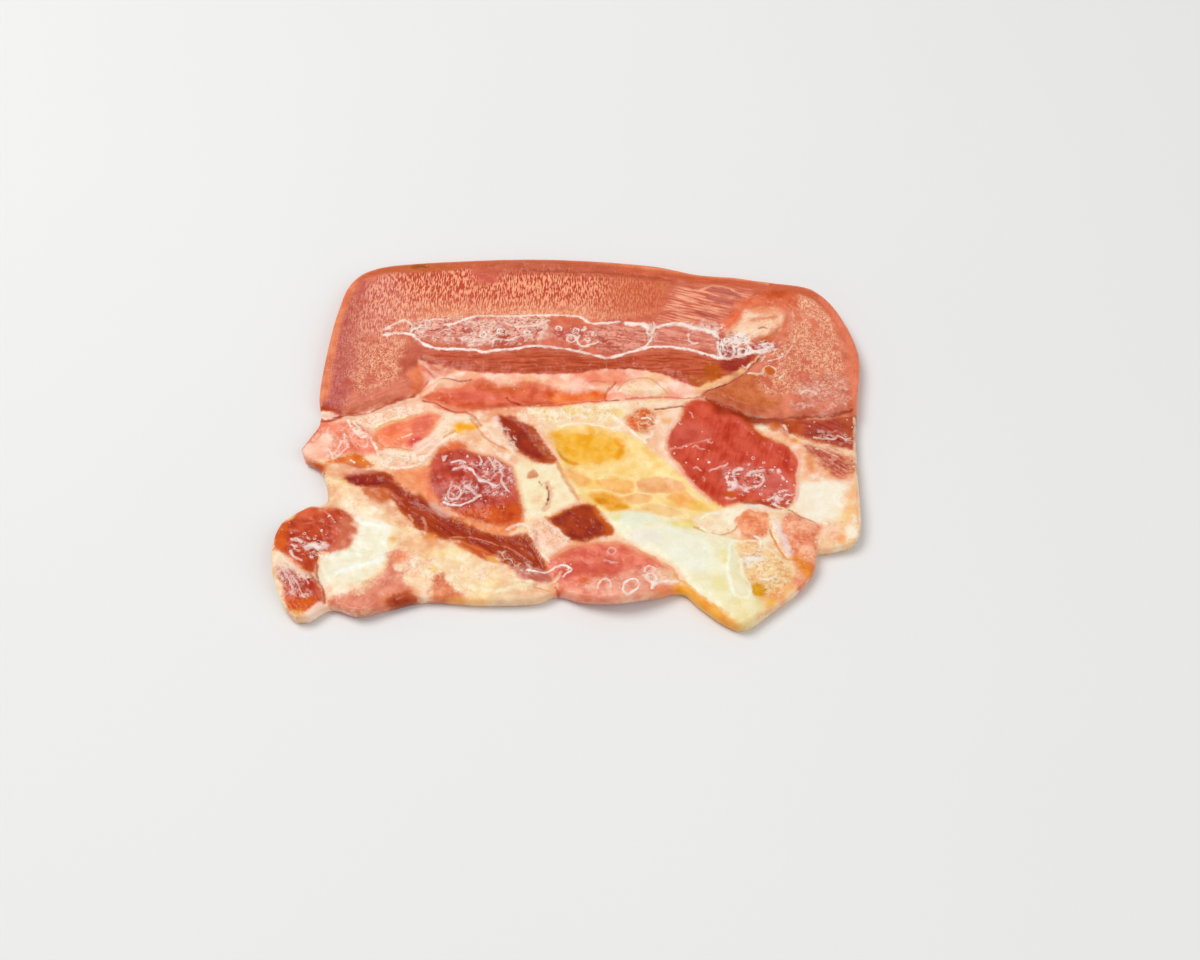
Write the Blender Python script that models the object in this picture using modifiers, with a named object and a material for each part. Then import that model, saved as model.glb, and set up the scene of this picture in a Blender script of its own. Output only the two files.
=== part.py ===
"""One slice of raw pork tongue, cut lengthwise from a pressed frozen block and lying flat.

The tongue's own muscle is the band along the top, with its tip bent back over the right end. Under it the slice
holds the root: fat, gland and cut muscle bundles. It is one thin, limp piece of meat, so it is one solid: an even
slab cut to the outline, whose top and underside are then shaped by the relief below.

Millimetres for the design, metres in the scene, +Z up, back of the tongue towards +Y, underside on Z = 0.
"""

import bmesh
import bpy
import numpy as np

MM = 0.001
THICKNESS = 3.8  # knife setting, without the relief
EDGE_ROUND = 1.3  # radius of the soft cut edge, top and bottom
EDGE_RINGS = (1.0, 0.35, 0.0)  # rings of points round the sheet, in edge radii from the outline
CELL = 1.25  # spacing of the modelling grid
CLEAR = CELL / 4  # least gap between the grid and the rings
MERGE = CELL / 8  # points of a ring nearer than this are one
GRID_REACH = 90.0  # half the modelling grid, larger than the slice
SPAN_STEPS = 8  # points on each span of a smooth outline
WAVE = 0.22  # gentle unevenness of the cut face: its height,
WAVE_X = 53.0  # its length along the tongue,
WAVE_Y = 44.0  # and across it
THINNEST_EDGE = 0.45  # largest share of the thickness that one rounded edge may take
TRIANGLE_SHARE = 0.21  # what the decimation keeps of the shaped slab

# The outline, clockwise from the lower left of the tongue's muscle.
TONGUE_BACK = [(-70, 18), (-69.3, 30), (-67.3, 48), (-65, 58.5), (-59.5, 64.3), (-48, 67), (-25, 68), (5, 67.6)]
TONGUE_TIP = [(25, 66), (38, 62.8), (50, 61.4), (63, 57.8), (72, 54), (79, 45.5), (83, 31), (81.3, 15)]
CUT_SIDE = [(79.8, 2), (79, -12), (78.4, -27), (76, -32.4), (70.5, -34.2), (66.3, -35.2), (65.3, -40)]
FAT_TONGUE = [(61, -46.3), (53, -53), (46, -58), (40.5, -56), (34.5, -51), (30, -47)]
LOWER_MARGIN = [(23, -49.2), (14, -51.3), (5, -50.3), (-2, -47.8), (-8, -50), (-22, -50.4), (-36, -49.5)]
LOBE = [(-45, -51.8), (-53, -54.2), (-60.5, -52), (-67.5, -56), (-73.5, -50), (-77, -38), (-76, -27), (-70, -21)]
ROOT_SIDE = [(-64.6, -18.5), (-65.6, -12), (-68, -7.3), (-73.5, -3.5), (-71.5, 2), (-69, 8)]
OUTLINE = TONGUE_BACK + TONGUE_TIP + CUT_SIDE + FAT_TONGUE + LOWER_MARGIN + LOBE + ROOT_SIDE

# The lower edge of the tongue's muscle, from the left side of the slice to under the bent tip.
FAR = 95.0
MUSCLE_EDGE = [(-FAR, 15), (-69, 12.6), (-60, 11.5), (-50, 15), (-43.5, 18), (-41, 22.5), (-42.7, 29.6), (-35, 27.3),
               (-24, 25.2), (-8, 25), (3, 25.5), (14, 27), (25, 25.4), (33, 21.8), (39, 20.3), (50, 26), (58, 35),
               (63, 46), (65, 60)]
MUSCLE = MUSCLE_EDGE + [(70, FAR), (-FAR, FAR)]
BENT_TIP = [(37.5, 18), (44, 21), (50.5, 26), (57, 33), (61.5, 41), (63, 50), (66, 59), (80, 64), (95, 40),
            (92, 18), (84, 10.5), (75, 9), (66, 8.3), (58, 8.5), (50, 11), (43, 14.6)]
MEMBRANE_STRIP = [(-41, 19.5), (-33, 23), (-22, 22.8), (-10, 22.6), (4, 20.2), (14, 20.5), (27, 19), (37, 17.8),
                  (27, 16), (12, 15), (-4, 13.6), (-16, 14), (-30, 11.3), (-38, 15)]

# Cut muscle bundles and fat bodies that stand above or lie below their surroundings.
ROUND_BUNDLE = [(33, 15), (42, 14), (50, 9), (55, 1.5), (61.5, -2), (62.5, -10), (60, -20.5), (50, -20), (42, -20),
                (35, -13.5), (29, -4.5), (28, 2), (32, 9)]
EYE_BUNDLE = [(-31, 0), (-23, -3), (-16, -7), (-13, -15), (-12.5, -23), (-18, -26), (-28, -23.5), (-36, -17), (-38.3, -9)]
LONG_BUNDLE = [(-59, -11.5), (-50, -9.8), (-42, -16), (-33, -23.5), (-20, -29.3), (-10, -31.3), (-4, -43), (-8, -44.5),
               (-18, -38), (-28, -31.6), (-37, -31), (-46, -22), (-51, -16)]
LOBE_BUNDLE = [(-72, -23), (-64, -21), (-57.8, -25), (-57, -31), (-63, -35.5), (-66, -40), (-71, -39), (-76, -31)]
SLANT_BUNDLE = [(-19, 9.5), (-13, 9), (-7, 1.5), (-4, -5.5), (-9, -5.5), (-14.5, -1), (-16, 5)]
WHITE_FAT = [(12, -23.5), (24, -23.6), (36, -28), (45, -32), (48, -44), (52, -51), (46, -60), (36, -53), (29, -45.5),
             (19, -34.5), (11, -28)]
YELLOW_FAT = [(-6, 7.5), (6, 5.8), (17, 2), (25, -7), (34, -16), (44, -21.8), (30, -24), (12, -22.5), (4, -18), (-1, -8)]
GLAND = [(47, -21.5), (56, -20.8), (66, -26), (68, -32), (66, -39), (57, -48), (50, -46), (46, -36), (45.5, -28)]
CHEEK = [(-3, -38), (1, -33.8), (10, -32.6), (20, -36), (29, -43), (27, -50), (10, -54), (-2, -49)]

# (area, rise in mm, how far the rise takes to build up); a dome builds up from its edge over a longer way.
RELIEF = [
    (MUSCLE, 0.6, 2.4),
    (BENT_TIP, 1.2, 2.2),
    (MEMBRANE_STRIP, -0.7, 2.4),
    (ROUND_BUNDLE, -0.35, 3.0),
    (EYE_BUNDLE, 0.9, 5.0),
    (LONG_BUNDLE, -0.45, 2.6),
    (LOBE_BUNDLE, 0.5, 4.0),
    (SLANT_BUNDLE, -0.35, 2.6),
    (WHITE_FAT, 0.9, 4.5),
    (YELLOW_FAT, -0.6, 3.0),
    (GLAND, 0.8, 4.0),
    (CHEEK, 0.35, 3.0),
]

# (points of a groove, how far its sides slope, depth): the slits where parts of the slice meet.
GROOVES = [
    ([(-71, 12), (-61, 10.6), (-50, 14.2), (-42, 17.4), (-38, 24), (-36, 25.4)], 2.6, 1.1),
    ([(8, 15.6), (20, 16.8), (37.5, 17.2), (44, 13.2), (51, 9.6)], 2.4, 0.9),
    ([(-76, -5), (-66, -8.6), (-62, -9.8)], 2.4, 0.8),
    ([(-63, -18), (-66, -20)], 3.2, 0.9),
    ([(-60.5, -54), (-62, -47.5), (-65.5, -41)], 2.4, 0.8),
    ([(-1.5, -49), (-3.5, -43), (-7.5, -33)], 2.4, 0.6),
]

# Where the limp margin stands off what it lies on: (spot on the margin, reach along x and y, lift there in mm).
CURLS = [
    ((15, -50.5), (17, 12), 2.6),
    ((-77, -38), (14, 21), 2.0),
    ((79, -20), (13, 23), 1.3),
    ((70, 55), (20, 15), 1.7),
    ((-68.5, 42), (12, 24), 1.2),
    ((-8, 67.8), (42, 12), 1.0),
    ((-52, -54), (12, 9), 0.8),
]


def smooth_loop(points, steps=SPAN_STEPS):
    """A closed Catmull-Rom curve through the points."""
    p1 = np.array(points, float)
    p0, p2, p3 = np.roll(p1, 1, 0), np.roll(p1, -1, 0), np.roll(p1, -2, 0)
    found = []
    for t in np.arange(steps) / steps:
        found.append(0.5 * (2 * p1 + (p2 - p0) * t + (2 * p0 - 5 * p1 + 4 * p2 - p3) * t**2
                            + (3 * p1 - p0 - 3 * p2 + p3) * t**3))
    return np.stack(found, 1).reshape(-1, 2)


def nearest(xy, start, end):
    """For each point the distance to a chain of segments, and the closest point on it."""
    best = np.full(len(xy), np.inf)
    spot = np.zeros_like(xy)
    for a, b in zip(start, end):
        along = np.clip(((xy - a) @ (b - a)) / ((b - a) @ (b - a)), 0, 1)
        foot = a + along[:, None] * (b - a)
        away = np.hypot(*(xy - foot).T)
        closer = away < best
        best[closer], spot[closer] = away[closer], foot[closer]
    return best, spot


def is_inside(xy, loop):
    """Even-odd test of each point against a closed loop."""
    inside = np.zeros(len(xy), bool)
    for (ax, ay), (bx, by) in zip(loop, np.roll(loop, -1, 0)):
        crosses = (ay > xy[:, 1]) != (by > xy[:, 1])
        with np.errstate(divide="ignore", invalid="ignore"):
            inside ^= crosses & (xy[:, 0] < (bx - ax) * (xy[:, 1] - ay) / (by - ay) + ax)
    return inside


def depth_in(xy, points):
    """Distance to the edge of a smooth area, positive inside it."""
    loop = smooth_loop(points)
    away = nearest(xy, loop, np.roll(loop, -1, 0))[0]
    return np.where(is_inside(xy, loop), away, -away)


def ease(t):
    """0 to 1, level at both ends."""
    t = np.clip(t, 0, 1)
    return t * t * (3 - 2 * t)


def relief(xy):
    """Height of the top surface over the plain slab."""
    height = WAVE * np.sin(2 * np.pi * xy[:, 0] / WAVE_X) * np.sin(2 * np.pi * xy[:, 1] / WAVE_Y)
    for area, rise, width in RELIEF:
        height += rise * ease(depth_in(xy, area) / width)
    for points, slope, depth in GROOVES:
        chain = np.array(points, float)
        height -= depth * (1 - ease(nearest(xy, chain[:-1], chain[1:])[0] / slope))
    return height


def lift(xy):
    """How far the sheet stands off the surface it lies on."""
    height = np.zeros(len(xy))
    for spot, reach, most in CURLS:
        height += most * ease(1 - np.hypot(*((xy - spot) / reach).T))
    return height


def flat_sheet(loop):
    """A grid cut short of the outline, with rings of faces that carry it out to the outline."""
    bm = bmesh.new()
    cells = int(2 * GRID_REACH / CELL)
    bmesh.ops.create_grid(bm, x_segments=cells, y_segments=cells, size=GRID_REACH)
    xy = np.array([v.co.xy for v in bm.verts])
    keep = is_inside(xy, loop) & (nearest(xy, loop, np.roll(loop, -1, 0))[0] > EDGE_ROUND + CLEAR)
    bmesh.ops.delete(bm, geom=[v for v, stays in zip(list(bm.verts), keep) if not stays], context="VERTS")
    bmesh.ops.delete(bm, geom=[v for v in bm.verts if not v.link_faces], context="VERTS")
    for ring in EDGE_RINGS:
        border = [e for e in bm.edges if e.is_boundary]
        made = bmesh.ops.extrude_edge_only(bm, edges=border)["geom"]
        moved = [g for g in made if isinstance(g, bmesh.types.BMVert)]
        xy = np.array([v.co.xy for v in moved])
        away, spots = nearest(xy, loop, np.roll(loop, -1, 0))
        for vertex, spot in zip(moved, spots + (xy - spots) * (ring * EDGE_ROUND / away)[:, None]):
            vertex.co.xy = spot
        bmesh.ops.remove_doubles(bm, verts=moved, dist=MERGE)
    bmesh.ops.recalc_face_normals(bm, faces=bm.faces)
    mesh = bpy.data.meshes.new("sheet")
    bm.to_mesh(mesh)
    bm.free()
    return mesh


def slab(loop):
    """The sheet as an even slab with straight walls."""
    plan = bpy.data.objects.new("plan", flat_sheet(loop))
    bpy.context.scene.collection.objects.link(plan)
    wall = plan.modifiers.new("Thickness", "SOLIDIFY")
    wall.thickness = THICKNESS
    wall.offset = 1.0
    bpy.context.view_layer.update()
    shape = bpy.data.meshes.new_from_object(plan.evaluated_get(bpy.context.evaluated_depsgraph_get()))
    bpy.data.objects.remove(plan)
    return shape


def shaped_slice():
    """The slab with its relief and round edges, the middle of its outline's box over the origin."""
    loop = smooth_loop(OUTLINE)
    mesh = slab(loop)
    points = np.empty(len(mesh.vertices) * 3, np.float32)
    mesh.vertices.foreach_get("co", points)
    points = points.reshape(-1, 3).astype(float)
    xy = points[:, :2].copy()
    is_top = points[:, 2] > points[:, 2].mean()
    thickness = THICKNESS + relief(xy)
    radius = np.minimum(EDGE_ROUND, THINNEST_EDGE * thickness)
    inward = np.minimum(nearest(xy, loop, np.roll(loop, -1, 0))[0] / EDGE_ROUND, 1)
    shy = radius * (1 - np.sqrt(1 - (1 - inward) ** 2))
    points[:, 2] = lift(xy) + np.where(is_top, thickness - shy, shy)
    points[:, :2] -= (loop.min(0) + loop.max(0)) / 2
    mesh.vertices.foreach_set("co", (points * MM).astype(np.float32).ravel())
    mesh.update()
    return mesh


def raw_meat():
    """Wet raw tongue muscle and fat, as one mean colour."""
    meat = bpy.data.materials.new("raw_tongue")
    meat.use_nodes = True
    shader = meat.node_tree.nodes["Principled BSDF"]
    shader.inputs["Base Color"].default_value = (0.68, 0.22, 0.15, 1)
    shader.inputs["Roughness"].default_value = 0.3
    shader.inputs["Metallic"].default_value = 0.0
    shader.inputs["Coat Weight"].default_value = 0.6
    return meat


def main():
    for old in list(bpy.data.objects):
        bpy.data.objects.remove(old)
    collection = bpy.data.collections.new("pork_tongue")
    bpy.context.scene.collection.children.link(collection)
    tongue = bpy.data.objects.new("tongue_slice", shaped_slice())
    tongue.data.materials.append(raw_meat())
    tongue.data.shade_smooth()
    collection.objects.link(tongue)
    coarse = tongue.modifiers.new("Coarse", "DECIMATE")
    coarse.ratio = TRIANGLE_SHARE


main()
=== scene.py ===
import math
from typing import NamedTuple

import bmesh
import bpy
import numpy as np
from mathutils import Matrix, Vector, noise


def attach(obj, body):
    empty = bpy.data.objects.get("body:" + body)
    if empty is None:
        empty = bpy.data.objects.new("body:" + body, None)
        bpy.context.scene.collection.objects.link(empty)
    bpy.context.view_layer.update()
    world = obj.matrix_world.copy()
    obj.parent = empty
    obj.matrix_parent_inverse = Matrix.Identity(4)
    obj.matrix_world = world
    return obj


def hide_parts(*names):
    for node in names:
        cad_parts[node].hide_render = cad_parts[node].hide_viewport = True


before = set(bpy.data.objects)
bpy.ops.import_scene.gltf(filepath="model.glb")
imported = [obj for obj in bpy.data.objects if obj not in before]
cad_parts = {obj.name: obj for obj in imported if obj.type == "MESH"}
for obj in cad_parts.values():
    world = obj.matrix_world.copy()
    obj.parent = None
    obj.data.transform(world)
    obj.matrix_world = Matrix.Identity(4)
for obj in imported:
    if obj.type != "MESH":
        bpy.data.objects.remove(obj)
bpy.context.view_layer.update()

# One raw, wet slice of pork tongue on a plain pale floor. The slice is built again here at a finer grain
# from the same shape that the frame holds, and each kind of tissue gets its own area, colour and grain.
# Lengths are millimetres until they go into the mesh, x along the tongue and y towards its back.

MM = 0.001

# ---------------------------------------------------------------- the slice's own shape, as the frame has it

THICKNESS = 3.8
EDGE_ROUND = 1.3  # radius of the rounded rim
EDGE_RINGS = (1.0, 0.35, 0.0)  # how far in the rings of faces at the rim lie, as shares of that radius
CELL = 0.96  # on the underside; the top face gets cells of half that
CLEAR = CELL / 4  # from the grid's last points to the first ring of faces round it
MERGE = CELL / 8  # points of a ring that lie closer than this become one
HALF_DIAGONAL = CELL / 4 * math.sqrt(2)  # of a cell of the top face
GRID_REACH = 90.0  # from the middle past the outline on every side
WAVE = 0.22  # height of the slow waves, which are as long as this along x and y:
WAVE_X = 53.0
WAVE_Y = 44.0
THINNEST_EDGE = 0.45  # the rounding's radius is this share of the thickness, at most

TONGUE_BACK = [(-70, 18), (-69.3, 30), (-67.3, 48), (-65, 58.5), (-59.5, 64.3), (-48, 67), (-25, 68),
               (5, 67.6)]
TONGUE_TIP = [(25, 66), (38, 62.8), (50, 61.4), (63, 57.8), (72, 54), (79, 45.5), (83, 31), (81.3, 15)]
CUT_SIDE = [(79.8, 2), (79, -12), (78.4, -27), (76, -32.4), (70.5, -34.2), (66.3, -35.2), (65.3, -40)]
FAT_TONGUE = [(61, -46.3), (53, -53), (46, -58), (40.5, -56), (34.5, -51), (30, -47)]
LOWER_MARGIN = [(23, -49.2), (14, -51.3), (5, -50.3), (-2, -47.8), (-8, -50), (-22, -50.4), (-36, -49.5)]
LOBE = [(-45, -51.8), (-53, -54.2), (-60.5, -52), (-67.5, -56), (-73.5, -50), (-77, -38), (-76, -27),
        (-70, -21)]
ROOT_SIDE = [(-64.6, -18.5), (-65.6, -12), (-68, -7.3), (-73.5, -3.5), (-71.5, 2), (-69, 8)]
OUTLINE = TONGUE_BACK + TONGUE_TIP + CUT_SIDE + FAT_TONGUE + LOWER_MARGIN + LOBE + ROOT_SIDE

FAR = 95.0
MUSCLE_EDGE = [(-FAR, 15), (-69, 12.6), (-60, 11.5), (-50, 15), (-43.5, 18), (-41, 22.5), (-42.7, 29.6),
               (-35, 27.3), (-24, 25.2), (-8, 25), (3, 25.5), (14, 27), (25, 25.4), (33, 21.8), (39, 20.3),
               (50, 26), (58, 35), (63, 46), (65, 60)]
MUSCLE = MUSCLE_EDGE + [(70, FAR), (-FAR, FAR)]
BENT_TIP = [(37.5, 18), (44, 21), (50.5, 26), (57, 33), (61.5, 41), (63, 50), (66, 59), (80, 64), (95, 40),
            (92, 18), (84, 10.5), (75, 9), (66, 8.3), (58, 8.5), (50, 11), (43, 14.6)]
MEMBRANE_STRIP = [(-41, 19.5), (-33, 23), (-22, 22.8), (-10, 22.6), (4, 20.2), (14, 20.5), (27, 19),
                  (37, 17.8), (27, 16), (12, 15), (-4, 13.6), (-16, 14), (-30, 11.3), (-38, 15)]
ROUND_BUNDLE = [(33, 15), (42, 14), (50, 9), (55, 1.5), (61.5, -2), (62.5, -10), (60, -20.5), (50, -20),
                (42, -20), (35, -13.5), (29, -4.5), (28, 2), (32, 9)]
EYE_BUNDLE = [(-31, 0), (-23, -3), (-16, -7), (-13, -15), (-12.5, -23), (-18, -26), (-28, -23.5),
              (-36, -17), (-38.3, -9)]
LONG_BUNDLE = [(-59, -11.5), (-50, -9.8), (-42, -16), (-33, -23.5), (-20, -29.3), (-10, -31.3), (-4, -43),
               (-8, -44.5), (-18, -38), (-28, -31.6), (-37, -31), (-46, -22), (-51, -16)]
LOBE_BUNDLE = [(-72, -23), (-64, -21), (-57.8, -25), (-57, -31), (-63, -35.5), (-66, -40), (-71, -39),
               (-76, -31)]
SLANT_BUNDLE = [(-19, 9.5), (-13, 9), (-7, 1.5), (-4, -5.5), (-9, -5.5), (-14.5, -1), (-16, 5)]
WHITE_FAT = [(12, -23.5), (24, -23.6), (36, -28), (45, -32), (48, -44), (52, -51), (46, -60), (36, -53),
             (29, -45.5), (19, -34.5), (11, -28)]
YELLOW_FAT = [(-6, 7.5), (6, 5.8), (17, 2), (25, -7), (34, -16), (44, -21.8), (30, -24), (12, -22.5),
              (4, -18), (-1, -8)]
GLAND = [(47, -21.5), (56, -20.8), (66, -26), (68, -32), (66, -39), (57, -48), (50, -46), (46, -36),
         (45.5, -28)]
CHEEK = [(-3, -38), (1, -33.8), (10, -32.6), (20, -36), (29, -43), (27, -50), (10, -54), (-2, -49)]

# (area, rise, how far the rise takes to build up)
RELIEF = [
    (MUSCLE, 0.6, 2.4),
    (BENT_TIP, 1.2, 2.2),
    (MEMBRANE_STRIP, -0.7, 2.4),
    (ROUND_BUNDLE, -0.35, 3.0),
    (EYE_BUNDLE, 0.9, 5.0),
    (LONG_BUNDLE, -0.45, 2.6),
    (LOBE_BUNDLE, 0.5, 4.0),
    (SLANT_BUNDLE, -0.35, 2.6),
    (WHITE_FAT, 0.9, 4.5),
    (YELLOW_FAT, -0.6, 3.0),
    (GLAND, 0.8, 4.0),
    (CHEEK, 0.35, 3.0),
]

# (points of a groove, how far its sides slope, depth)
GROOVES = [
    ([(-71, 12), (-61, 10.6), (-50, 14.2), (-42, 17.4), (-38, 24), (-36, 25.4)], 2.6, 1.1),
    ([(8, 15.6), (20, 16.8), (37.5, 17.2), (44, 13.2), (51, 9.6)], 2.4, 0.9),
    ([(-76, -5), (-66, -8.6), (-62, -9.8)], 2.4, 0.8),
    ([(-63, -18), (-66, -20)], 3.2, 0.9),
    ([(-60.5, -54), (-62, -47.5), (-65.5, -41)], 2.4, 0.8),
    ([(-1.5, -49), (-3.5, -43), (-7.5, -33)], 2.4, 0.6),
]

# where the band turns over into its tip without a step, and how far the relief is evened out there
TIP_BRIDGE = [(62.4, 41), (63.6, 49), (65.6, 57), (68, 66)]
BRIDGE_REACH = 9.0
BRIDGE_STEPS = (-5.0, -3.0, -1.0, 1.0, 3.0, 5.0)

# (spot on the margin, reach along x and y, lift there)
CURLS = [
    ((15, -50.5), (17, 12), 2.6),
    ((-77, -38), (14, 21), 2.0),
    ((79, -20), (13, 23), 1.3),
    ((70, 55), (20, 15), 1.7),
    ((-68.5, 42), (12, 24), 1.2),
    ((-8, 67.8), (42, 12), 1.0),
    ((-52, -54), (12, 9), 0.8),
]

# ---------------------------------------------------------------- tissues from the bottom level up, and the painted highlights and shade over them


class Area(NamedTuple):
    """A patch of one tissue, or of the wet film's painted highlight and shade. Its colour goes from dark to
    light with its grain, which runs at that angle.

    soft is how wide its edge is, ragged how far that wanders, and streaks how far the grain is drawn out.
    """

    dark: tuple
    light: tuple
    points: list
    soft: float = 2.0
    ragged: float = 0.6
    strength: float = 1.0
    angle: float = 0.0
    streaks: float = 0.0


class Line(NamedTuple):
    """A line of one colour, fading out from its middle."""

    colour: tuple
    half_width: float
    points: list
    strength: float = 1.0


BLUSH = [
    # the wet pink root at the upper left
    Area((234, 112, 84), (250, 148, 118), [(-77, -6), (-75, 2), (-70, 8), (-65, 8), (-60, 8.5), (-55, 5),
         (-52, 1), (-52, -4), (-58, -4), (-66, -6), (-72, -6)], 3.5, 1.2, 1.0),
    Area((250, 190, 160), (255, 226, 202), [(-62, 9), (-60, 11), (-55, 12), (-50, 14.5), (-43, 17),
         (-38, 14), (-36, 12), (-44, 9), (-52, 6), (-58, 6)], 3, 1, 0.8),
    # cream fat that shows orange along the lobe's left margin
    Area((244, 160, 96), (252, 214, 170), [(-78, -27), (-74.5, -26), (-75.5, -34), (-76, -40), (-74, -48),
         (-70, -53), (-64, -56), (-72, -57), (-80, -42)], 2.5, 0.8, 0.8),
    # around the eye-shaped bundle
    Area((240, 160, 124), (252, 206, 176), [(-49, -9), (-38, -8), (-34, 1), (-24, 0.5), (-15, -4),
         (-11.5, -12), (-10.5, -26), (-14, -30), (-26, -28), (-40, -18), (-46, -13)], 3, 0.8, 0.75),
    # the peach-coloured right margin, and the top of the fat there
    Area((248, 184, 132), (253, 218, 174), [(73, -12), (81, -8), (81, -35), (66, -37), (66, -31), (73, -27),
         (74, -18)], 4, 1, 0.85),
    Area((250, 168, 134), (255, 208, 178), [(54, 4), (61, 4.5), (64, 0.5), (68, -6), (74, -12), (66, -13),
         (63, -7), (60, 0)], 2.5, 0.8, 0.85),
    # under the muscle band
    Area((255, 172, 150), (255, 210, 190), [(-42, 29), (-20, 27), (10, 28), (30, 25), (39, 20), (30, 16),
         (10, 15), (-10, 12), (-24, 11), (-38, 14), (-42, 20)], 3, 0.8, 0.95),
    # pale folds below the eye
    Area((246, 178, 148), (253, 216, 192), [(-16, -29), (-6, -25), (-1, -26.5), (2, -32), (-3, -36),
         (-6, -34), (-9, -30)], 2.5, 0.8, 0.8),
    Area((248, 184, 136), (252, 218, 178), [(-46, -29), (-36, -32), (-33, -36), (-37, -42), (-38, -49),
         (-42, -49), (-41, -40), (-44, -33)], 3.5, 1, 0.8),
    Area((248, 188, 156), (253, 216, 190), [(24, 13), (33, 15), (31, 8), (27, 3), (27, -3), (31, -10),
         (38, -18), (33, -15), (26, -6), (23, 2), (22, 10)], 2.5, 0.6, 0.85),
    Area((246, 176, 134), (252, 210, 176), [(-26, 10), (-18, 11), (-4, 12), (-6, 5), (-2, -4), (-1, -9),
         (2, -16), (-3, -9), (-7, 2), (-13, 9), (-20, 8)], 2, 0.5, 0.7),
    Area((248, 192, 150), (252, 214, 178), [(-10, -47), (-3, -45), (-2.5, -49), (-8, -51)], 2.5, 0.8, 0.8),
    Area((246, 176, 140), (252, 208, 176), [(64, -26), (70, -27), (75, -30), (76, -34), (66, -36),
         (67, -31)], 2.5, 0.8, 0.8),
    Area((240, 178, 142), (252, 214, 182), [(-26, 7), (-20, 8), (-17, 4), (-15, 0), (-17, -3), (-22, -2),
         (-26, 1), (-28, 4)], 3, 1, 0.85),
    Area((244, 184, 164), (252, 212, 192), [(-42, 1), (-38, 3.4), (-35, 1), (-36, -4), (-40, -5),
         (-43, -3)], 2, 0.6, 0.85),
    # under the membrane strip, pink at its left end
    Area((232, 144, 108), (248, 186, 146), [(-26, 10), (-18, 13), (-8, 13.6), (-3, 13), (-8, 11),
         (-16, 9.6), (-22, 7)], 3, 1, 0.85),
]

FATS = [
    # bluish-white fat of the tongue's underside, with greener and mauver tints
    Area((241, 233, 192), (248, 243, 212), [(11, -25), (14, -22.5), (21, -22.5), (29, -25), (37, -28.5),
         (44, -31.5), (47, -38), (49, -46), (50.5, -52), (46, -59), (41, -57), (34, -51), (30, -46.5),
         (25, -39.5), (18, -33.5), (13, -29)], 1.6, 0.5, 1.0),
    Area((238, 232, 202), (248, 245, 226), [(-63.5, -36.5), (-59, -35), (-56, -31), (-55, -26),
         (-50, -25.5), (-46, -29), (-46, -34), (-48, -40), (-53, -44.5), (-60, -46), (-64.5, -43)], 2.5,
         0.8, 0.95),
    Area((248, 238, 214), (251, 245, 228), [(62, -17), (66, -12.5), (73, -12.5), (75, -14), (73, -19),
         (72, -25), (66, -25.5), (61.5, -22)], 5.0, 1.6, 1.0),
    # yellow fat
    Area((250, 206, 118), (254, 228, 160), [(-3, 6), (5, 6.3), (12, 5), (18, 2.5), (22, -1), (27, -6),
         (32, -12), (37, -17.5), (42.5, -21), (37, -23.5), (30, -24.5), (22, -22.5), (13, -22.5),
         (8.5, -23), (5, -19.5), (2, -15.5), (-0.5, -10), (-3, -4)], 1.6, 0.5, 1.0),
    Area((247, 226, 182), (252, 240, 206), [(-14, -7), (-8, -6.5), (-2.5, -7), (0, -12), (3, -18),
         (-1, -21), (-5, -23.5), (-11, -24), (-13, -16)], 1.8, 0.6, 0.95),
    Area((246, 216, 158), (255, 244, 214), [(-10, 12.5), (-2, 13), (10, 14.5), (15, 12), (14, 8), (6, 7.4),
         (-3, 7.2), (-8, 9)], 2.5, 0.8, 0.9),
    Area((250, 208, 170), (255, 232, 202), [(14, 19), (17, 22.5), (22, 23.4), (25, 21.3), (27, 18.5),
         (20, 17.6)], 1.8, 0.4, 0.85),
    Area((244, 208, 162), (254, 240, 208), [(-59, -14), (-54, -17), (-48, -21), (-44, -26), (-40, -31),
         (-33, -33.5), (-22, -38), (-13, -43.5), (-8, -46), (-22, -49), (-30, -47), (-38, -42), (-44, -33),
         (-54, -25), (-60, -21), (-64, -17)], 3, 1, 0.8),
    Area((246, 226, 188), (254, 246, 220), [(32, -26), (35, -23.5), (38.5, -22), (43, -21.5), (47, -21),
         (46.5, -24), (45, -28), (42, -29.4), (38, -29), (34.5, -27.3)], 1.4, 0.5, 0.9),
]

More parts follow.
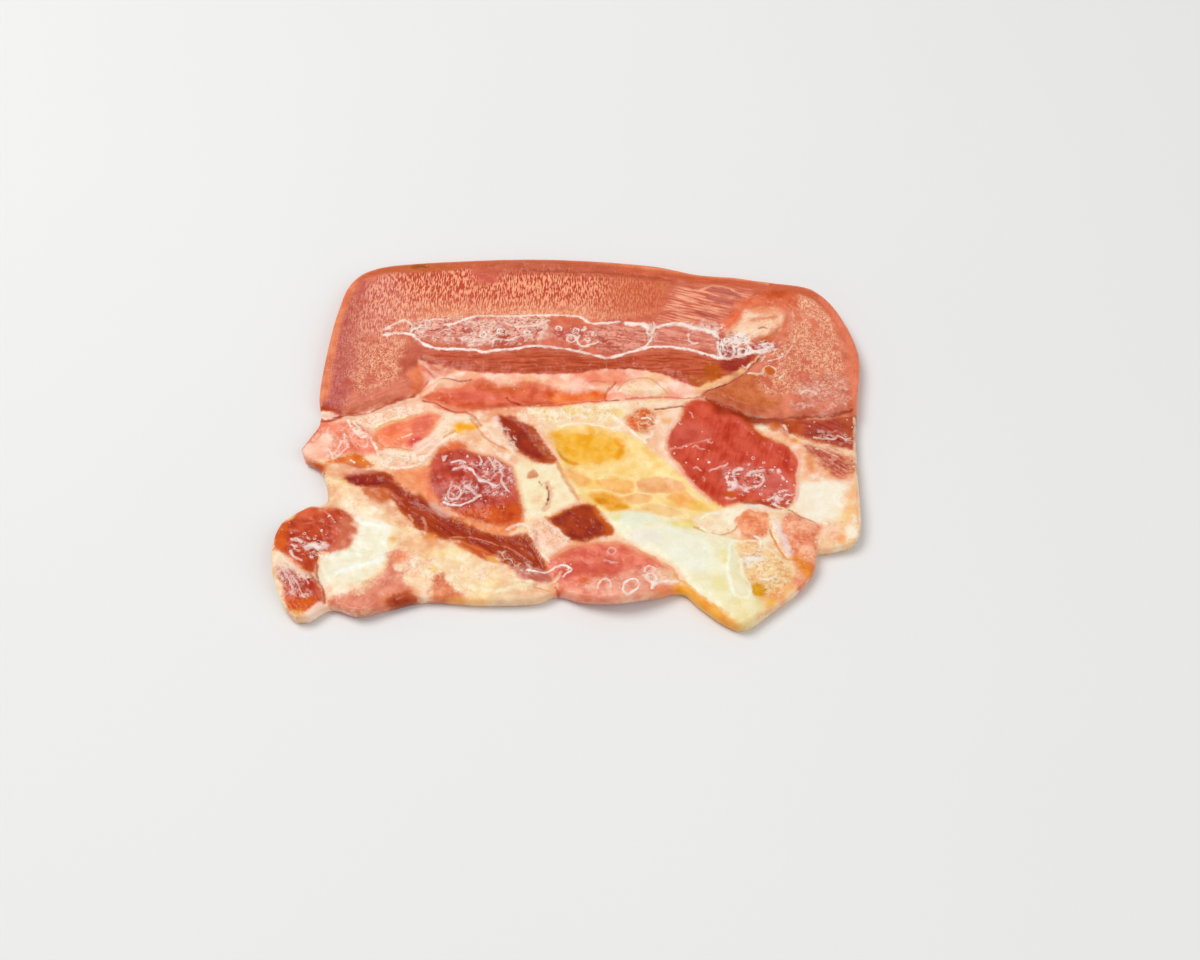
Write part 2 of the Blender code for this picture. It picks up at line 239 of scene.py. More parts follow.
CELLS = [
    # golden pool and cells of the yellow fat
    Area((240, 166, 36), (250, 190, 80), [(-4.5, 4.5), (2, 5), (8, 4.6), (13, 3.2), (16, 0.8), (16, -2),
         (14.6, -4.6), (11, -6), (6, -6.6), (2, -6.6), (-1.5, -4), (-3.5, 0)], 5.0, 1.0, 1.0),
    Area((240, 160, 82), (251, 188, 116), [(-2, -8.5), (3, -9), (6, -11), (5.6, -13.6), (3, -14.2),
         (0.5, -12)], 2.2, 0.5, 0.9),
    Area((242, 162, 82), (252, 192, 114), [(7.5, -12.2), (12, -11.2), (17.5, -12), (18, -15), (15, -16.3),
         (11, -14.8)], 1.2, 0.4, 0.85),
    Area((234, 156, 104), (248, 184, 130), [(18.8, -12.5), (22, -10.8), (27, -11), (31, -13.5), (32, -15.4),
         (27, -16), (22, -15.7), (19.2, -14.6)], 1.2, 0.4, 0.85),
    Area((238, 162, 100), (250, 190, 128), [(15.6, -17.6), (18, -16.2), (21.5, -16.4), (23, -17.6),
         (21, -19.2), (17.5, -19.4)], 1.2, 0.4, 0.8),
    Area((236, 150, 34), (250, 182, 86), [(6, -16.3), (10, -15.8), (14, -17), (15, -19), (12, -20.2),
         (8.5, -20)], 1.6, 0.5, 0.9),
    Area((234, 156, 20), (248, 182, 70), [(10.5, -21), (14, -20), (17, -20.5), (16, -21.8), (12, -22.6)],
         1.4, 0.4, 0.85),
    Area((244, 166, 86), (251, 188, 112), [(26, -16.6), (29, -15.6), (33, -17.2), (36, -20.5), (34, -22),
         (30, -20)], 1.4, 0.4, 0.85),
    Area((240, 184, 116), (249, 208, 148), [(20, -21), (24, -19.5), (29, -20.6), (31.5, -23.2), (28, -24.2),
         (23, -22.8)], 1.2, 0.4, 0.8),
    # salmon-coloured lean, see-through over what lies under it
    Area((236, 132, 84), (250, 176, 126), [(-49, -8.5), (-43, -7.5), (-38.5, -7.5), (-36.5, -12),
         (-35.5, -17), (-39, -18.5), (-43, -15.8), (-46.5, -12.4)], 4.0, 1.0, 0.95, -35, 0.3),
    Area((236, 128, 76), (250, 168, 112), [(-34, -22), (-28, -24.5), (-20, -27), (-13, -24.5), (-12, -26.5),
         (-15, -29.5), (-20, -29.5), (-28, -26.5)], 1.6, 0.4, 0.95),
    Area((206, 106, 84), (238, 150, 124), [(-47, -37), (-44, -35), (-42, -37), (-42, -44), (-41, -49),
         (-45, -53), (-52, -54.5), (-59, -53), (-61, -50), (-54, -48), (-49.5, -44), (-47, -40.5)], 3.0,
         1.4, 0.95, 52, 0.3),
    Area((206, 96, 56), (238, 144, 100), [(-35.5, -48.5), (-34, -44), (-32, -42), (-30.5, -44.5),
         (-29, -46.5), (-26, -49), (-27, -51), (-34, -50.5)], 2.0, 1.0, 0.95, -70, 0.2),
    # glandular tissue and its jelly
    Area((230, 126, 84), (255, 176, 132), [(46, -23.5), (49, -21.9), (52, -23), (53.6, -26), (53, -30),
         (50.5, -32), (47, -31), (45.5, -28)], 1.4, 0.9, 1.0),
    Area((230, 126, 90), (255, 188, 152), [(57, -26), (59.4, -22.7), (63, -24.7), (66.5, -26.7),
         (67.5, -29), (66, -33), (66, -40), (63, -44), (60.5, -47), (57.5, -45), (60, -41), (57.5, -36),
         (56.5, -31)], 1.6, 0.9, 1.0),
    Area((238, 184, 120), (248, 212, 160), [(45.5, -31), (50, -33), (54, -35), (58, -38.5), (60, -43),
         (58, -46), (53, -52), (49.5, -50), (47, -45), (45.5, -38)], 2.0, 0.8, 0.95),
    Area((240, 150, 78), (252, 184, 114), [(50, -46), (55, -45), (59.5, -43.5), (60, -46), (56, -50),
         (52, -52.5), (49.5, -50)], 2.5, 0.9, 0.9),
    # orange nodule by the big bundle
    Area((206, 92, 40), (240, 148, 104), [(16, 8.5), (18, 11), (21.5, 12), (24, 10.3), (24, 6.5), (21, 4),
         (18, 4.8)], 2.4, 0.9, 1.0),
    Area((250, 202, 182), (255, 234, 218), [(-69, 9.5), (-66, 8.8), (-64, 9.4), (-64.4, 11), (-67, 11.6),
         (-69.4, 11.2)], 1.1, 0.3, 1.0),
    # peach and pale patches of the root and beside the brown strip
    Area((252, 194, 166), (255, 222, 200), [(-73.4, -3), (-71, 2.4), (-67, 4.4), (-64.6, 1), (-65, -3),
         (-69, -5)], 3, 1, 0.85),
    Area((230, 156, 116), (250, 208, 174), [(-57, -16), (-51, -17.6), (-46.6, -19.4), (-43, -25),
         (-45, -27), (-49, -22.4), (-54, -19.6)], 3, 1.2, 0.85),
]

LEANS = [
    Area((228, 104, 84), (250, 148, 116), [(-53.3, 3), (-52, 5), (-48, 7), (-43.5, 8.8), (-39, 10),
         (-35.5, 9.6), (-37, 6), (-38.5, 2.5), (-40.5, 0), (-43, -1.6), (-46, -0.8), (-50, -0.8),
         (-52.3, 0.8)], 1.5, 0.5, 1.0, 20, 0.2),
    Area((206, 78, 50), (238, 124, 94), [(-41, 16.5), (-38.5, 19), (-35, 20.2), (-31, 20.2), (-28.5, 21.8),
         (-25, 22.8), (-21, 21.4), (-16, 20.6), (-12, 22), (-8, 21.6), (-5, 20.4), (-2, 18.5), (2, 17.7),
         (6, 18.2), (9.4, 18), (10.4, 16.6), (6, 15.2), (1, 14.2), (-4, 13.4), (-12, 13.6), (-18, 13),
         (-24, 12.4), (-27, 11.4), (-31, 10.9), (-34, 12.2), (-36.5, 14.2), (-40, 15.2)], 1.8, 0.6, 1.0, 4,
         0.25),
    Area((214, 92, 76), (248, 144, 120), [(-5, -39), (-3, -37), (0, -35), (3, -33.6), (8, -32.7),
         (14, -32.8), (18, -34.4), (22, -37), (26, -39.6), (29, -43), (29.4, -46), (22, -49), (12, -51),
         (4, -50.5), (-2, -48), (-1.6, -46), (-3.4, -43.5)], 1.8, 0.6, 1.0, -25, 0.15),
]

BUNDLES = [
    Area((172, 52, 32), (212, 92, 66), [(-72, -24), (-71, -22), (-67, -21.2), (-62, -21.3), (-59, -22.6),
         (-57.2, -25), (-57.4, -26.6), (-55.8, -28.2), (-57, -30), (-56.9, -32.5), (-58.4, -34),
         (-61.5, -35.2), (-65.4, -35.4), (-65.2, -38), (-65.6, -41), (-68, -41.4), (-70.4, -39.4),
         (-73, -37.4), (-75.6, -35), (-76.9, -31), (-76.4, -27.4), (-74, -26)], 1.0, 0.5, 1.0, -60, 0.2),
    Area((176, 52, 38), (220, 112, 92), [(-74.6, -40), (-71.4, -40.4), (-68.6, -42.6), (-65.4, -44),
         (-63.4, -46.6), (-62.4, -50), (-65, -52), (-67, -53.6), (-70, -53.4), (-72, -50.5), (-73, -46)],
         1.2, 0.7, 1.0, -58, 0.6),
    Area((188, 58, 44), (222, 96, 78), [(32.6, 13), (34, 14.6), (38, 15.6), (44, 14.2), (49, 11),
         (50.8, 7.5), (51.6, 6), (53, 4), (55, 2), (58, 0.6), (60, -0.5), (62, -3), (63, -6), (62.2, -10),
         (61.8, -14), (61, -18), (58.4, -21.2), (54, -20.4), (50, -19.2), (46, -19.4), (42, -20.6),
         (39, -18.5), (36, -15.6), (33, -12), (31, -8), (29, -4.6), (27.6, -1.6), (27.8, 2), (29, 5),
         (31.2, 7.6), (32, 10)], 1.0, 0.4, 1.0, 75, 0.3),
    Area((168, 52, 44), (208, 90, 76), [(-32.6, -0.6), (-30, -0.4), (-27.2, -2.4), (-24.4, -3.8),
         (-21, -4.8), (-17.4, -6.6), (-15.4, -9), (-14, -13), (-13, -17), (-12.4, -22), (-13, -25),
         (-17, -26), (-21, -25.6), (-25, -24.4), (-29, -22.6), (-33, -20.6), (-36, -17.5), (-38, -13.5),
         (-38.3, -9.5), (-37, -5), (-35, -2)], 1.4, 0.5, 1.0, -60, 0.2),
    Area((148, 46, 24), (180, 74, 44), [(-60, -11.6), (-58, -10), (-54, -9.7), (-50, -9.4), (-47.5, -10.4),
         (-46, -13), (-43, -15.6), (-39, -17), (-36.5, -19.8), (-33, -23), (-28.5, -25.6), (-24, -27.8),
         (-19, -29.6), (-14, -30.2), (-10.4, -29.8), (-8, -33.4), (-6, -37.5), (-4.6, -41), (-4, -43.6),
         (-7, -44.6), (-10, -43.6), (-13, -41), (-17, -38.5), (-21, -36.5), (-25, -34.4), (-28, -31.9),
         (-33, -31.6), (-37, -29.6), (-40, -27.4), (-42.5, -24.6), (-45, -21.6), (-46.6, -18.6),
         (-49.4, -17.6), (-53, -15.2), (-57, -14)], 1.0, 0.5, 1.0, -36, 0.6),
    Area((136, 42, 30), (168, 60, 44), [(-19.6, 10.2), (-15.6, 9.6), (-12.2, 7.8), (-9.2, 5.4), (-7.4, 2.4),
         (-5.8, -1), (-4, -4), (-3, -6), (-6, -6.4), (-9, -5.8), (-12, -4), (-14.6, -1.6), (-16.4, 1.4),
         (-17.6, 4.2), (-18.6, 7)], 1.0, 0.5, 1.0, -52, 0.35),
    Area((142, 44, 26), (176, 70, 42), [(-4.8, -25.2), (-2.4, -23.4), (0.6, -21.6), (3.8, -20), (7, -20.8),
         (9, -24), (11.5, -27), (12.4, -29), (10, -30.6), (6, -32), (3, -32.4), (0, -30.8), (-1.6, -28.4),
         (-4, -26.8)], 1.0, 0.4, 1.0, -35, 0.3),
    Area((148, 50, 46), (194, 88, 74), [(59.6, 7), (64, 8.6), (71, 8.4), (76, 10), (81, 13), (82, 5),
         (80.4, -1.8), (76, -1.6), (72, -0.4), (68, 0.8), (64, 2.6), (60.5, 4.6)], 1.2, 0.6, 1.0, -28, 0.6),
    Area((164, 60, 50), (224, 136, 112), [(65, -0.8), (68, -0.9), (72, -2.2), (75.6, -4.2), (79.4, -6),
         (79.4, -9.4), (77.4, -10.6), (74.4, -11.6), (71, -9.4), (69, -6), (66.6, -3)], 2.0, 0.9, 1.0, -42,
         0.9),
    Area((140, 42, 28), (170, 64, 40), [(-46.5, -50), (-44, -48.2), (-41, -48), (-38, -49), (-38, -51.4),
         (-42, -52), (-45, -52)], 1.6, 0.6, 0.95),
]

SHADES = [
    # lobe
    Area((210, 86, 34), (228, 112, 56), [(-78, -27), (-74.6, -26.2), (-73.4, -31), (-74, -35.6),
         (-77, -35)], 2.6, 0.6, 0.9),
    Area((212, 88, 56), (226, 108, 74), [(-72.4, -24), (-69, -21), (-63, -21), (-64, -23), (-70, -25)], 2.4,
         0.6, 0.8),
    Area((202, 106, 82), (224, 136, 108), [(-60.4, -25), (-57, -24.6), (-55.6, -29), (-57, -34), (-61, -36),
         (-60, -30)], 3, 0.8, 0.75),
    Area((172, 42, 28), (186, 54, 36), [(-68.6, -43), (-66, -42.6), (-64.2, -46), (-65.6, -47.4),
         (-68, -46)], 1.6, 0.6, 0.9),
    Area((200, 74, 20), (228, 108, 46), [(-72, -49.6), (-68, -48.6), (-64.4, -49.6), (-64.6, -52.8),
         (-68, -54.6), (-71.4, -53)], 1.6, 0.6, 0.95),
    # big round bundle
    Area((200, 86, 74), (220, 108, 94), [(28, 2), (31, 7), (36, 7.4), (40, 4.6), (39.4, 1.4), (34, 0),
         (29, -1.6)], 3, 0.6, 0.6),
    Area((206, 72, 54), (222, 98, 76), [(32.4, 13.6), (38, 16), (42, 14), (39, 10.6), (34, 9)], 2.5, 0.6,
         0.8),
    # painted shadow under the bent tip's edge
    Area((152, 52, 34), (174, 66, 46), [(38, 17.5), (44, 15), (50, 11.5), (54, 9.6), (60, 8.8), (60, 6.4),
         (55, 6.4), (50.5, 7), (46, 10.4), (41, 12)], 2.2, 0.4, 0.95),
    Area((196, 70, 34), (208, 88, 52), [(50, 8), (52.6, 4.6), (56, 1.4), (53.6, 1.4), (50, 4)], 2, 0.5,
         0.7),
    # painted sheen, pinkish, on the lower part of the bundle inside the wet loops
    Area((210, 104, 94), (228, 130, 118), [(43, -8), (53, -7.6), (60, -11), (61, -17), (57, -20), (51, -16),
         (45, -15.4), (42, -12)], 4, 0.8, 0.7),
    Area((168, 48, 14), (186, 62, 26), [(47, -18.8), (53, -18.8), (59, -20.6), (58, -21.8), (52, -20.6),
         (47, -20)], 1.2, 0.3, 0.85),
    # eye-shaped bundle
    Area((214, 90, 40), (232, 118, 70), [(-35, -2.4), (-33, 0.4), (-30, 1), (-27.6, -1), (-30, -1.8),
         (-33, -2.4)], 1.8, 0.4, 0.9),
    # painted sheen, a pinkish haze in the middle of the bundle
    Area((194, 88, 82), (218, 118, 110), [(-29, -5), (-21, -5), (-16, -7.4), (-15, -13), (-16, -17.4),
         (-21, -17.6), (-23, -13), (-25, -9.4), (-29.6, -8)], 3, 0.8, 0.4),
    Area((192, 66, 28), (222, 98, 46), [(-29, -22.2), (-23, -21.6), (-16, -20.8), (-13, -19.8),
         (-11.6, -23.4), (-13, -26.4), (-20, -26.6), (-27, -24.6)], 2.6, 0.6, 0.9),
    Area((242, 134, 94), (255, 164, 122), [(-39.8, -8), (-37.4, -8.6), (-36.8, -14), (-34.6, -19),
         (-37.8, -18.6), (-40, -13)], 2.4, 0.5, 0.85),
    # brown strip, where it thins out to orange and mauve, with a mauve painted sheen along its top edge
    Area((198, 92, 48), (220, 122, 74), [(-55, -14.4), (-51, -14.8), (-47.6, -16), (-48, -19.2),
         (-51.4, -19), (-54, -17)], 1.8, 0.6, 0.9, -36, 0.6),
    Area((200, 84, 46), (224, 116, 72), [(-29, -32), (-24, -33.4), (-19.6, -35.6), (-17, -37.4),
         (-19, -38.6), (-24, -36.4), (-28.6, -33.8)], 1.2, 0.5, 0.95, -28, 0.6),
    Area((214, 104, 40), (234, 138, 64), [(-38.6, -29.6), (-35.6, -29.8), (-33.6, -32), (-35, -33.6),
         (-38, -32)], 1.6, 0.8, 0.9),
    # painted sheen along the top edge of the brown strip
    Area((196, 104, 84), (220, 140, 120), [(-60.6, -10.2), (-57, -8.6), (-52, -9.2), (-54, -10.4),
         (-58, -11)], 1.5, 0.5, 0.8),
    Area((196, 104, 92), (220, 144, 130), [(-13, -40), (-9, -40.4), (-4.6, -41.4), (-3.6, -44.4), (-8, -45),
         (-11.6, -43)], 2, 0.5, 0.85, -30, 0.5),
    Area((194, 80, 26), (210, 98, 40), [(7.6, -20.6), (10, -24.4), (12.6, -28), (11.8, -30.2), (10, -27.4),
         (8, -23.6)], 1.6, 0.4, 0.85),
    Area((180, 78, 40), (204, 108, 64), [(-10, 6), (-6.4, 0.6), (-3, -5), (-4.4, -6.6), (-7.6, -1.6),
         (-10.6, 3.4)], 2.0, 0.5, 0.6),
    # violet bundles at the right
    Area((172, 64, 36), (200, 92, 58), [(59.6, 8), (64, 8.6), (65.6, 4.4), (63, 2.4), (59.6, 4)], 2.4, 0.5,
         0.85),
    Area((172, 74, 50), (194, 96, 66), [(75.6, 9.6), (81.6, 13.6), (82.4, 3), (78.6, 0), (76.4, 2.4)], 2.6,
         0.6, 0.8),
    Area((216, 140, 92), (236, 170, 126), [(76.4, -4), (79.6, -4.6), (79.4, -9), (77, -10.4), (76, -7)],
         2.2, 0.8, 0.8),
    # cheek
    Area((200, 74, 62), (216, 96, 80), [(-2, -39.6), (4, -39), (12, -38.8), (16, -41), (13, -43.4),
         (5, -43), (-1, -44.6)], 3, 0.8, 0.8, -25, 0.4),
    Area((226, 126, 102), (246, 176, 150), [(11, -44.4), (16, -41), (22, -41), (27, -42.4), (29.6, -46),
         (24, -48.6), (14, -51.4), (5, -51), (-1, -48.8), (0, -46.8), (5, -46.6), (8, -45)], 3.4, 1.2, 0.9),
    Area((240, 142, 90), (250, 170, 118), [(23, -46.4), (27, -45.4), (30, -45.6), (29, -47.4), (24, -48.8)],
         1.4, 0.4, 0.85),
    Area((216, 92, 30), (232, 120, 56), [(4, -43.8), (6, -44), (6, -46), (4, -45.6)], 1.2, 0.5, 0.85),
    Area((234, 136, 62), (248, 164, 92), [(59, -37), (62, -37), (65, -40.6), (64, -43.6), (61, -43),
         (59.6, -40)], 2.0, 0.6, 0.7),
    Area((212, 104, 24), (228, 124, 44), [(9, -42.6), (11, -42.6), (10.6, -43.8), (9, -43.8)], 0.9, 0.4,
         0.85),
    # pink lean
    Area((244, 120, 76), (252, 146, 102), [(-53, 3), (-49, 6.4), (-44, 7.4), (-44, 3), (-46, -0.4),
         (-51, 0)], 3, 0.6, 0.7),
    Area((208, 66, 66), (226, 92, 88), [(-43.4, 1), (-41, 2.6), (-40, 0.8), (-42.4, -1)], 1.8, 0.5, 0.85),
    # lean strip
    Area((196, 84, 30), (216, 106, 54), [(-25, 21.2), (-17, 20.8), (-11, 20.6), (-15, 18.8), (-21, 19)],
         2.4, 0.6, 0.55),
    Area((204, 78, 20), (224, 100, 40), [(-7, 18.8), (-3, 18.6), (-3.4, 16.6), (-6, 16.6)], 2.2, 0.5, 0.6),
    Area((242, 110, 52), (255, 150, 92), [(-5, 18.4), (2, 17.8), (10, 18.2), (10.4, 16.6), (4, 14.6),
         (-4, 13.8)], 2.4, 0.6, 0.85),
    Area((178, 58, 40), (200, 78, 58), [(-32, 12.4), (-24, 14), (-14, 14.6), (-4, 15), (-6, 13.4),
         (-18, 12.8), (-28, 11.4)], 2.0, 0.6, 0.6),
    Area((226, 82, 10), (240, 104, 36), [(4.6, 18.4), (8.8, 18.4), (9.4, 16.8), (5, 16.6)], 1.6, 0.4, 0.9),
    Area((222, 100, 84), (240, 128, 108), [(-34, 19), (-26, 20), (-20, 18), (-21, 15.6), (-29, 15.6)], 3,
         0.8, 0.6),
    Area((236, 108, 48), (246, 134, 78), [(-30, 12.4), (-25, 12.6), (-25, 13.8), (-30, 13.6)], 1.4, 0.4,
         0.85),
]

MARKS = [
    # amber stain beside the brown strip, and the dark cracks by it
    Area((216, 96, 12), (232, 122, 28), [(-66, -6.2), (-62, -4.3), (-58, -3.2), (-55, -4.6), (-52.6, -7.4),
         (-54.6, -8.4), (-58, -7.6), (-61, -6.8), (-64.4, -7.2)], 1.4, 0.5, 0.95),
    Area((196, 66, 20), (212, 84, 34), [(-71.6, -5.6), (-68.4, -6.2), (-65.4, -7.8), (-64.6, -9.4),
         (-67, -8.8), (-70.4, -7.2)], 1.2, 0.3, 0.95),
    Area((226, 140, 100), (240, 168, 128), [(-66, -8), (-61, -6.8), (-58, -8.4), (-60, -11.4),
         (-65, -11.4)], 2.4, 0.8, 0.7),
    Area((232, 164, 120), (246, 194, 152), [(-66, -15), (-61, -14.6), (-59.6, -20), (-65, -21)], 2.6, 0.9,
         0.75),
    Area((228, 176, 134), (242, 200, 158), [(-18, -46), (-9, -45.6), (-8, -50), (-18, -50.6)], 3, 0.9,
         0.65),
    Area((234, 158, 108), (246, 184, 136), [(-42, -30.4), (-36, -31.4), (-31, -33), (-32, -36), (-38, -36),
         (-43, -34)], 2.6, 0.9, 0.75),
    Area((242, 190, 150), (252, 214, 178), [(23.4, -41), (27, -40.4), (30.4, -43), (29.6, -46), (25, -45)],
         2.2, 0.8, 0.8),
    Area((240, 130, 100), (250, 168, 134), [(0, 25.6), (12, 26.8), (18, 24), (13, 20), (6, 21.5)], 2.5, 1.0,
         0.85),
    Area((214, 116, 90), (236, 150, 122), [(-42, 29), (-38, 28), (-33, 26.6), (-34, 24.6), (-39, 24.6),
         (-42, 26)], 1.6, 0.6, 0.8),
    Area((226, 114, 88), (246, 152, 120), [(-37.6, 14.4), (-33, 13.6), (-28, 13.2), (-27.6, 11.2),
         (-32, 10.8), (-36, 12.2)], 1.6, 0.5, 0.85),
    Area((240, 240, 218), (246, 246, 230), [(24, -27), (34, -30), (38, -36), (36, -42), (30, -40),
         (24, -33)], 4, 0.8, 0.7),
    Area((140, 38, 34), (160, 54, 44), [(-60.2, -11.6), (-57.6, -10.4), (-52.4, -10.6), (-49, -12.4),
         (-51, -14), (-56, -14.2)], 1.2, 0.4, 0.85),
    Area((188, 68, 34), (206, 88, 54), [(-60, -6.6), (-57.6, -6), (-54.6, -7.6), (-57, -8.6)], 1.2, 0.4,
         0.9),
    # painted highlight, a white glint on the root
    Area((232, 214, 202), (250, 240, 232), [(-64, -7.6), (-62, -7.8), (-61.4, -10), (-63.2, -11)], 2.2, 0.8,
         0.6),
    Area((184, 72, 12), (196, 86, 24), [(-66, -16.8), (-64.8, -17.2), (-63.6, -19), (-64.8, -19.6),
         (-66, -18)], 0.6, 0.2, 0.9),
    Area((246, 162, 6), (254, 192, 46), [(-31.6, 3.6), (-30.6, 6.8), (-27.4, 7.4), (-24.8, 5.6),
         (-28, 4.2)], 2.0, 0.6, 0.95),
    Area((214, 134, 0), (232, 152, 16), [(-3, -1.6), (-1, -4), (2, -5.6), (3.6, -6.6), (1, -6.6),
         (-2, -4.8)], 1.2, 0.3, 0.9),
    Area((236, 148, 0), (246, 162, 4), [(13, 1.6), (15, 1), (15.8, -1.6), (14.2, -4.4), (12.8, -4),
         (14, -1.6)], 1.4, 0.3, 0.9),
    Area((212, 132, 0), (228, 148, 20), [(8, -17.8), (10, -17.8), (10.8, -19.2), (8.8, -19.6)], 1.4, 0.3,
         0.85),
    Area((224, 146, 0), (236, 160, 20), [(13, -20), (16, -20), (16, -21.2), (13, -21.2)], 1.2, 0.3, 0.85),
    Area((240, 190, 84), (250, 206, 110), [(33, -19.4), (37, -19), (38.6, -21.4), (35, -22)], 2, 0.5, 0.8),
    Area((234, 178, 66), (250, 214, 130), [(12.2, 11.2), (14.4, 12), (15, 9.6), (12.8, 9.4)], 1.8, 0.6,
         0.8),
    Area((220, 90, 30), (232, 112, 50), [(19.6, 11.2), (22.4, 11.8), (22, 10), (19.8, 9.8)], 1, 0.3, 0.9),
    Area((232, 100, 52), (242, 130, 80), [(16.4, 8.6), (19.4, 8.4), (20, 5.4), (17.6, 5.2)], 1.6, 0.5, 0.8),
    Area((232, 158, 84), (244, 178, 108), [(26.2, 8.8), (28.6, 8.8), (28.4, 7), (26.6, 7)], 1.4, 0.4, 0.8),
    Area((238, 176, 116), (250, 204, 150), [(24.4, 11.6), (27.8, 11.8), (27.2, 9.6), (25, 9.8)], 2.4, 0.6,
         0.6),
    Area((206, 128, 84), (238, 176, 134), [(-10.8, -11.4), (-9.2, -9), (-7.8, -11.2), (-9.2, -11.8)], 1.0,
         0.5, 0.9),
    Area((234, 170, 112), (248, 204, 156), [(-9.4, -17.6), (-7, -17.6), (-6.8, -19.6), (-9, -19.8)], 2.0,
         0.6, 0.7),
    Area((238, 216, 116), (246, 228, 150), [(28, -25.6), (33, -25.6), (34, -27.6), (29, -28.4)], 2, 0.4,
         0.8),
    Area((234, 188, 60), (244, 200, 90), [(31, -25), (33.6, -25.4), (33.4, -27), (31.4, -26.6)], 1, 0.3,
         0.8),
    Area((238, 206, 120), (244, 218, 144), [(20.4, -26.4), (23, -26.4), (22.8, -27.6), (20.6, -27.6)], 0.9,
         0.2, 0.8),
    Area((236, 224, 150), (242, 232, 172), [(12, -23), (15, -23.4), (14.6, -25.6), (12.4, -25.4)], 1.6, 0.4,
         0.8),
    Area((232, 238, 214), (238, 242, 222), [(15, -23), (22, -23), (24, -26.4), (18, -28.4), (14.6, -27)], 3,
         0.5, 0.7),
    Area((238, 230, 220), (243, 236, 228), [(17, -29), (25, -28.6), (27, -32.6), (22, -34), (17.6, -32)], 3,
         0.5, 0.7),
    Area((242, 228, 160), (247, 236, 184), [(38, -44), (40.4, -42.6), (42, -47), (41, -52), (38.6, -49)],
         2.5, 0.6, 0.7),
    Area((238, 222, 130), (244, 230, 160), [(41, -35.6), (42.2, -36), (42, -39.6), (40.8, -39)], 1.2, 0.3,
         0.7),
    # painted highlight on the jelly by the gland
    Area((228, 222, 212), (240, 236, 226), [(46.6, -36.8), (51, -36.4), (51.4, -38.6), (47.4, -40.4)], 1.8,
         0.5, 0.85),
    Area((208, 140, 4), (234, 172, 40), [(47.8, -46.2), (50.4, -44.8), (52.4, -46.6), (51, -49.2),
         (48.6, -49)], 1.2, 0.3, 0.95),
    Area((232, 178, 56), (242, 194, 86), [(52.4, -50.4), (54, -50.4), (53.6, -52), (52.4, -51.6)], 0.9, 0.2,
         0.85),
    Area((240, 140, 34), (248, 158, 60), [(60, -38), (62, -38.6), (64.4, -42), (63, -43), (61, -40.4)], 1.2,
         0.3, 0.8),
    Area((202, 90, 34), (218, 112, 52), [(56, 7), (58.6, 7.2), (58.4, 4.8), (56.6, 4.6)], 1.4, 0.4, 0.85),
    Area((226, 130, 62), (240, 158, 92), [(65, -4.4), (67.4, -5.4), (67.4, -9), (65.4, -8)], 1.8, 0.5, 0.8),
    Area((232, 140, 60), (244, 166, 92), [(62, 2.6), (64.6, 1.8), (64, 0.2), (62, 0.8)], 1.6, 0.4, 0.8),
    Area((188, 82, 14), (204, 96, 30), [(42.4, -16.2), (45.4, -16.2), (45, -18), (42.6, -17.8)], 1.2, 0.4,
         0.9),
    Area((250, 238, 208), (254, 246, 226), [(74, -28.2), (76.6, -28.4), (77, -31), (74.6, -31.2)], 1.4, 0.3,
         0.85),
    Area((248, 160, 96), (252, 180, 120), [(71.6, -30.6), (73.6, -30.6), (73.8, -33), (71.8, -33)], 1.4,
         0.4, 0.7),
    Area((236, 176, 88), (246, 198, 120), [(-46.8, -30.8), (-45.2, -31), (-45.4, -32.4), (-46.6, -32.4)], 1,
         0.3, 0.85),
    Area((248, 226, 168), (252, 238, 196), [(-47, -32.4), (-44.4, -32.6), (-45, -34.4), (-46.8, -34)], 1,
         0.3, 0.8),
    Area((236, 136, 88), (248, 164, 116), [(-45.6, -35.6), (-42, -35), (-41.6, -38.4), (-44.8, -38.6)], 1.8,
         0.5, 0.85),
    Area((250, 216, 178), (254, 234, 204), [(-44.6, -39), (-42.4, -39.2), (-42.6, -41.2), (-44.4, -41)],
         1.0, 0.4, 0.85),
    Area((248, 210, 134), (252, 224, 164), [(-36, -33.6), (-28, -34), (-26, -36), (-33, -37), (-37, -35.4)],
         2.5, 0.7, 0.7),
    Area((238, 182, 92), (248, 204, 124), [(-36, -40), (-33.6, -40), (-33.4, -41.6), (-35.6, -41.6)], 1.4,
         0.4, 0.8),
    Area((246, 224, 158), (250, 234, 184), [(-15, -45.8), (-10.4, -45.6), (-10, -47.4), (-14.6, -47.8)], 2,
         0.5, 0.8),
    Area((250, 174, 100), (253, 196, 132), [(-30, -49.4), (-23, -49), (-20, -51), (-28, -51.6)], 2, 0.5,
         0.8),
    Area((234, 164, 82), (244, 184, 110), [(-20.6, -36.8), (-17.6, -37), (-17.8, -38.8), (-20, -38.4)], 1.0,
         0.3, 0.8),
    Area((222, 144, 52), (238, 164, 78), [(-70, -53.4), (-67.6, -53.2), (-67.4, -54.8), (-69.6, -54.8)],
         1.2, 0.3, 0.85),
    Area((248, 206, 186), (253, 226, 208), [(-66.4, -53.8), (-62.8, -50.6), (-61.4, -51.6), (-64, -54.8),
         (-66.4, -55.6)], 1.2, 0.4, 0.85),
    Area((250, 214, 186), (253, 230, 206), [(-76.2, -38), (-73, -38.6), (-69.6, -41), (-66.6, -43.2),
         (-68.6, -43.6), (-72, -41.6), (-75.6, -40.6)], 1.2, 0.7, 0.85),
    # painted highlight, a pale crescent under the eye-shaped bundle
    Area((236, 190, 176), (248, 214, 200), [(-37, -19.4), (-34, -21.4), (-30.6, -23.6), (-32, -24.4),
         (-36, -22)], 1.2, 0.3, 0.5),
    Area((232, 110, 96), (244, 138, 118), [(11, 25.4), (14.6, 25.6), (14.4, 23.8), (11.6, 23.6)], 1.4, 0.4,
         0.8),
